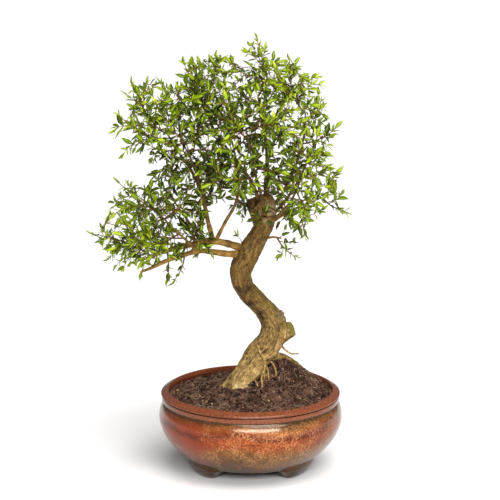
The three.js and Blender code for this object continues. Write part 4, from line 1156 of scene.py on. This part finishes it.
def leafy_piece(name, shoots, draws):
    """One mesh of shoots with their leaves. A shoot is its path, its radius at its foot and at
    its tip, and the bare length before its first leaf."""
    grown = [leaves_along(path, bare, draws) for path, *radii, bare in shoots]
    grown = [np.concatenate(part) for part in zip(*grown)]
    showing = ~over_trunk(grown[0])
    showing |= ~showing.any()
    roots, ways, tops, sizes, ages = (part[showing] for part in grown)
    count = len(roots)
    ways = unit(ways + draws.normal(0, 0.17, ways.shape))
    tops = unit(tops + draws.normal(0, 0.3, tops.shape))
    lengths, widths = LEAF_LENGTH * sizes, LEAF_WIDTH * sizes * draws.uniform(0.8, 1.15, count)
    folds, curls = draws.uniform(0.05, 0.6, count), draws.uniform(-0.05, 0.34, count)
    leaf_corners = blades(roots, ways, tops, lengths, widths, folds, curls)
    # Painted shade: leaves deep inside the crown and low in it get darker tones.
    outer = np.linalg.norm((roots - CROWN_MIDDLE) / CROWN_HALF, axis=1)
    low_painted_shade = np.clip((0.41 - roots[:, 2]) / 0.1, 0, 1)
    tones = 0.46 * np.minimum(outer, 1.05) ** 1.6 - 0.12 * low_painted_shade - 0.06 + 0.18 * ages**2
    tones = np.clip(tones + draws.normal(0, 0.15, count), 0, 1)
    points = [leaf_corners.reshape(-1, 3)]
    face_sets = [repeated(BLADE_FACES, leaf_corners.shape[1], count)]
    shades = [np.repeat(tones, leaf_corners.shape[1])]
    offset = len(points[0])
    for path, thick, thin, bare in shoots:
        sides, foot_tone, tip_tone = (6, 0.1, 0.55) if thick == STEM_RADII[0] else (4, 0.35, 1.0)
        bar_points, bar_faces = tubes(path[None], np.linspace(thick, thin, len(path))[None], sides)
        points.append(bar_points)
        face_sets.append(bar_faces + offset)
        ripe = np.linspace(foot_tone, tip_tone, len(path))
        shades.append(np.concatenate([np.repeat(ripe, sides), [ripe[0], ripe[-1]]]))
        offset += len(bar_points)
    piece = mesh_piece(name, np.vstack(points), [face_sets[0], np.vstack(face_sets[1:])], [leaf, twig])
    noted(piece, "tone", np.concatenate(shades))
    below = np.zeros(offset)
    below[:len(points[0])] = np.tile(BLADE_SIDE, count)
    noted(piece, "below", below)
    flat = np.zeros((offset, 2))
    flat[:len(points[0])] = np.tile(BLADE_MAP * [1, 0.5] + [0, 0.5], (count, 1))
    corners = np.zeros(len(piece.data.loops), np.int32)
    piece.data.loops.foreach_get("vertex_index", corners)
    blade_map = piece.data.uv_layers.new(name="blade")
    blade_map.data.foreach_set("uv", flat[corners].astype(np.float32).ravel())
    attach(piece, "root")
    return piece


limb_samples = limb_axes.reshape(-1, 4)
limb_ways = unit(np.gradient(limb_axes[..., :3], axis=1)).reshape(-1, 3)


def furthest(places, first, count):
    """Picks places one by one, each as far as it can be from all those already picked."""
    chosen = [first]
    gaps = np.linalg.norm(places - places[first], axis=1)
    while len(chosen) < count:
        chosen.append(int(np.argmax(gaps)))
        gaps = np.minimum(gaps, np.linalg.norm(places - places[chosen[-1]], axis=1))
    return chosen


def spray_shoots(solid):
    """The shoots of one spray, read from the frame's solid: the stem runs from its corner nearest
    a limb to its furthest corner, and side shoots fork off forwards to other far corners."""
    corners = vectors_of(solid.data.vertices, "co")
    gaps = np.linalg.norm(corners[:, None] - limb_samples[None, :, :3], axis=2) - limb_samples[None, :, 3]
    foot_corner, sample = np.unravel_index(np.argmin(gaps), gaps.shape)
    foot_place = corners[foot_corner]
    tip_corner = int(np.argmax(np.linalg.norm(corners - foot_place, axis=1)))
    way = corners[tip_corner] - foot_place
    length = np.linalg.norm(way)
    limb_way = limb_ways[sample]
    lead = unit(way - (way @ limb_way) * limb_way)
    start = limb_samples[sample, :3]
    middle = foot_place + 0.22 * length * lead + 0.25 * way
    stem_end = corners[tip_corner] - 0.009 * unit(corners[tip_corner] - middle)
    stem = bent(start, middle, stem_end, STEM_STEPS)
    shoots = [(stem, *STEM_RADII, 0.3 * length)]
    ways = unit(np.gradient(stem, axis=0))
    for end in corners[furthest(corners, tip_corner, int(np.clip(length / 0.0075, 5, 12)))[1:]]:
        gap = np.linalg.norm(stem - end, axis=1).min()
        local, level = as_seen(end)
        hanging = level < 292 and local[0] > -125
        if gap > 0.010 and not hanging:
            height = np.linalg.norm(end - start) - 0.75 * gap
            step = int(np.clip(height / length, 0.12, 0.92) * (STEM_STEPS - 1))
            reach = end - stem[step]
            bend = stem[step] + 0.45 * reach + 0.16 * np.linalg.norm(reach) * ways[step]
            shoots.append((bent(stem[step], bend, end - 0.007 * unit(reach), 8), *SHOOT_RADII, 0.005))
    return shoots


spray_names = sorted(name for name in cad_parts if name.startswith("spray_"))
all_shoots = []
for i, name in enumerate(spray_names):
    shoots = spray_shoots(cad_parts[name])
    spray = leafy_piece("leafy_" + name, shoots, np.random.default_rng(700 + i))
    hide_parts(name)
    all_shoots += shoots


# Side shoots
# Between the sprays the crown is filled by side shoots. Each one grows towards a free place in
# the rounded lobes that make up the crown, from the nearest wood that points that way.
CROWN_LOBES = [
    ((-116, 0, 496), (50, 80, 46)), ((-48, 4, 526), (54, 92, 52)), ((38, 4, 503), (66, 100, 71)),
    ((-30, 2, 442), (82, 102, 60)), ((64, 0, 404), (56, 84, 52)), ((-138, 0, 340), (70, 68, 56)),
    ((-84, 0, 386), (56, 70, 52)),
]
FREE_SPACING = 0.0198
LOBE_SHARE = 0.95
CANDIDATES = 14000
WINDOW_ACROSS = (-58, 14)
WINDOW_LEVELS = (296, 380)
WOOD_CLEARANCE = 0.008
TRUNK_CLEARANCE = 0.026
TUFTS = [
    (0, (-12, -8, 321), (-13, -10, 326), (-17, -10, 330)),
    (3, (-24, -6, 394), (-17, -8, 382), (-16, -8, 366)),
]


def in_window(points):
    """Whether places lie in the open window left of the trunk's top, which shows no leaves."""
    local, level = as_seen(points)
    beside = (local[:, 0] > WINDOW_ACROSS[0]) & (local[:, 0] < WINDOW_ACROSS[1])
    return beside & (level > WINDOW_LEVELS[0]) & (level < WINDOW_LEVELS[1])


def free_places(wood, draws):
    """Places spread through the lobes, no two nearer than the spacing, clear of the wood and of
    the window. Returns them with the number of the lobe that each was drawn in."""
    lobe = draws.integers(0, len(CROWN_LOBES), CANDIDATES)
    middles = placed([middle for middle, half in CROWN_LOBES])[lobe]
    halves = np.array([half for middle, half in CROWN_LOBES])[lobe] * MM * LOBE_SHARE
    ball = unit(draws.normal(size=(CANDIDATES, 3))) * draws.random((CANDIDATES, 1)) ** (1 / 3)
    places = middles + ball * halves
    local, level = as_seen(places)
    lowest = np.where(local[:, 0] > -122, 300, 291)
    open_place = ~in_window(places) & (level > lowest)
    to_trunk = np.linalg.norm(places[:, None] - trunk_axis[None, ::3, :3], axis=2).min(1)
    open_place &= (to_trunk > TRUNK_CLEARANCE) | (level > BARE_TRUNK_LEVEL)
    places, lobe = places[open_place], lobe[open_place]
    kept = []
    taken = wood[::2]
    room = np.full(len(places), np.inf)
    for start in range(0, len(places), 500):
        gaps = np.linalg.norm(places[start:start + 500, None] - taken[None], axis=2)
        room[start:start + 500] = gaps.min(1)
    for i in np.flatnonzero(room > WOOD_CLEARANCE):
        if room[i] > WOOD_CLEARANCE:
            kept.append(i)
            gaps = np.linalg.norm(places - places[i], axis=1)
            room = np.where(gaps < FREE_SPACING, 0.0, room)
    order = np.array(kept)[np.argsort([np.linalg.norm(wood - places[i], axis=1).min() for i in kept])]
    return places[order], lobe[order]


growing = np.random.default_rng(1207)
leafless = np.linspace(0, 1, LIMB_STEPS) > 0.16
limb_wood = limb_axes[:, leafless, :3]
limb_wood_ways = limb_ways.reshape(len(LIMB_LINES), LIMB_STEPS, 3)[:, leafless]
wood = np.vstack([limb_wood.reshape(-1, 3)] + [shoot[0] for shoot in all_shoots])
shoot_ways = [unit(np.gradient(shoot[0], axis=0)) for shoot in all_shoots]
wood_ways = np.vstack([limb_wood_ways.reshape(-1, 3)] + shoot_ways)
local, level = as_seen(wood)
at_top = (np.abs(local[:, 0] - 18) < 24) & (level < 384)
shut = in_window(wood) | at_top
wood, wood_ways = wood[~shut], wood_ways[~shut]
targets, target_lobes = free_places(wood, growing)
fill = [[] for lobe in CROWN_LOBES]
for target, lobe in zip(targets, target_lobes):
    reach = target - wood
    gaps = np.linalg.norm(reach, axis=1)
    lean = (reach * wood_ways).sum(1) / (gaps + 1e-9)
    best = int(np.argmin(gaps * (1.4 - 0.4 * lean) + (gaps < 0.006)))
    span = gaps[best]
    bend = wood[best] + 0.5 * reach[best] + 0.16 * span * wood_ways[best] + [0, 0, -0.05 * span]
    path = bent(wood[best], bend, target, 7)
    fill[lobe].append((path, *SHOOT_RADII, min(0.35 * span, 0.012)))
    wood = np.vstack([wood, path[2:]])
    wood_ways = np.vstack([wood_ways, unit(np.gradient(path, axis=0))[2:]])
for lobe, start, middle, end in TUFTS:
    fill[lobe].append((bent(*placed([start, middle, end]), 7), 0.0006, 0.00034, 0.012))
for i, shoots in enumerate(fill):
    leafy_piece("side_shoots_%d" % (i + 1), shoots, np.random.default_rng(900 + i))
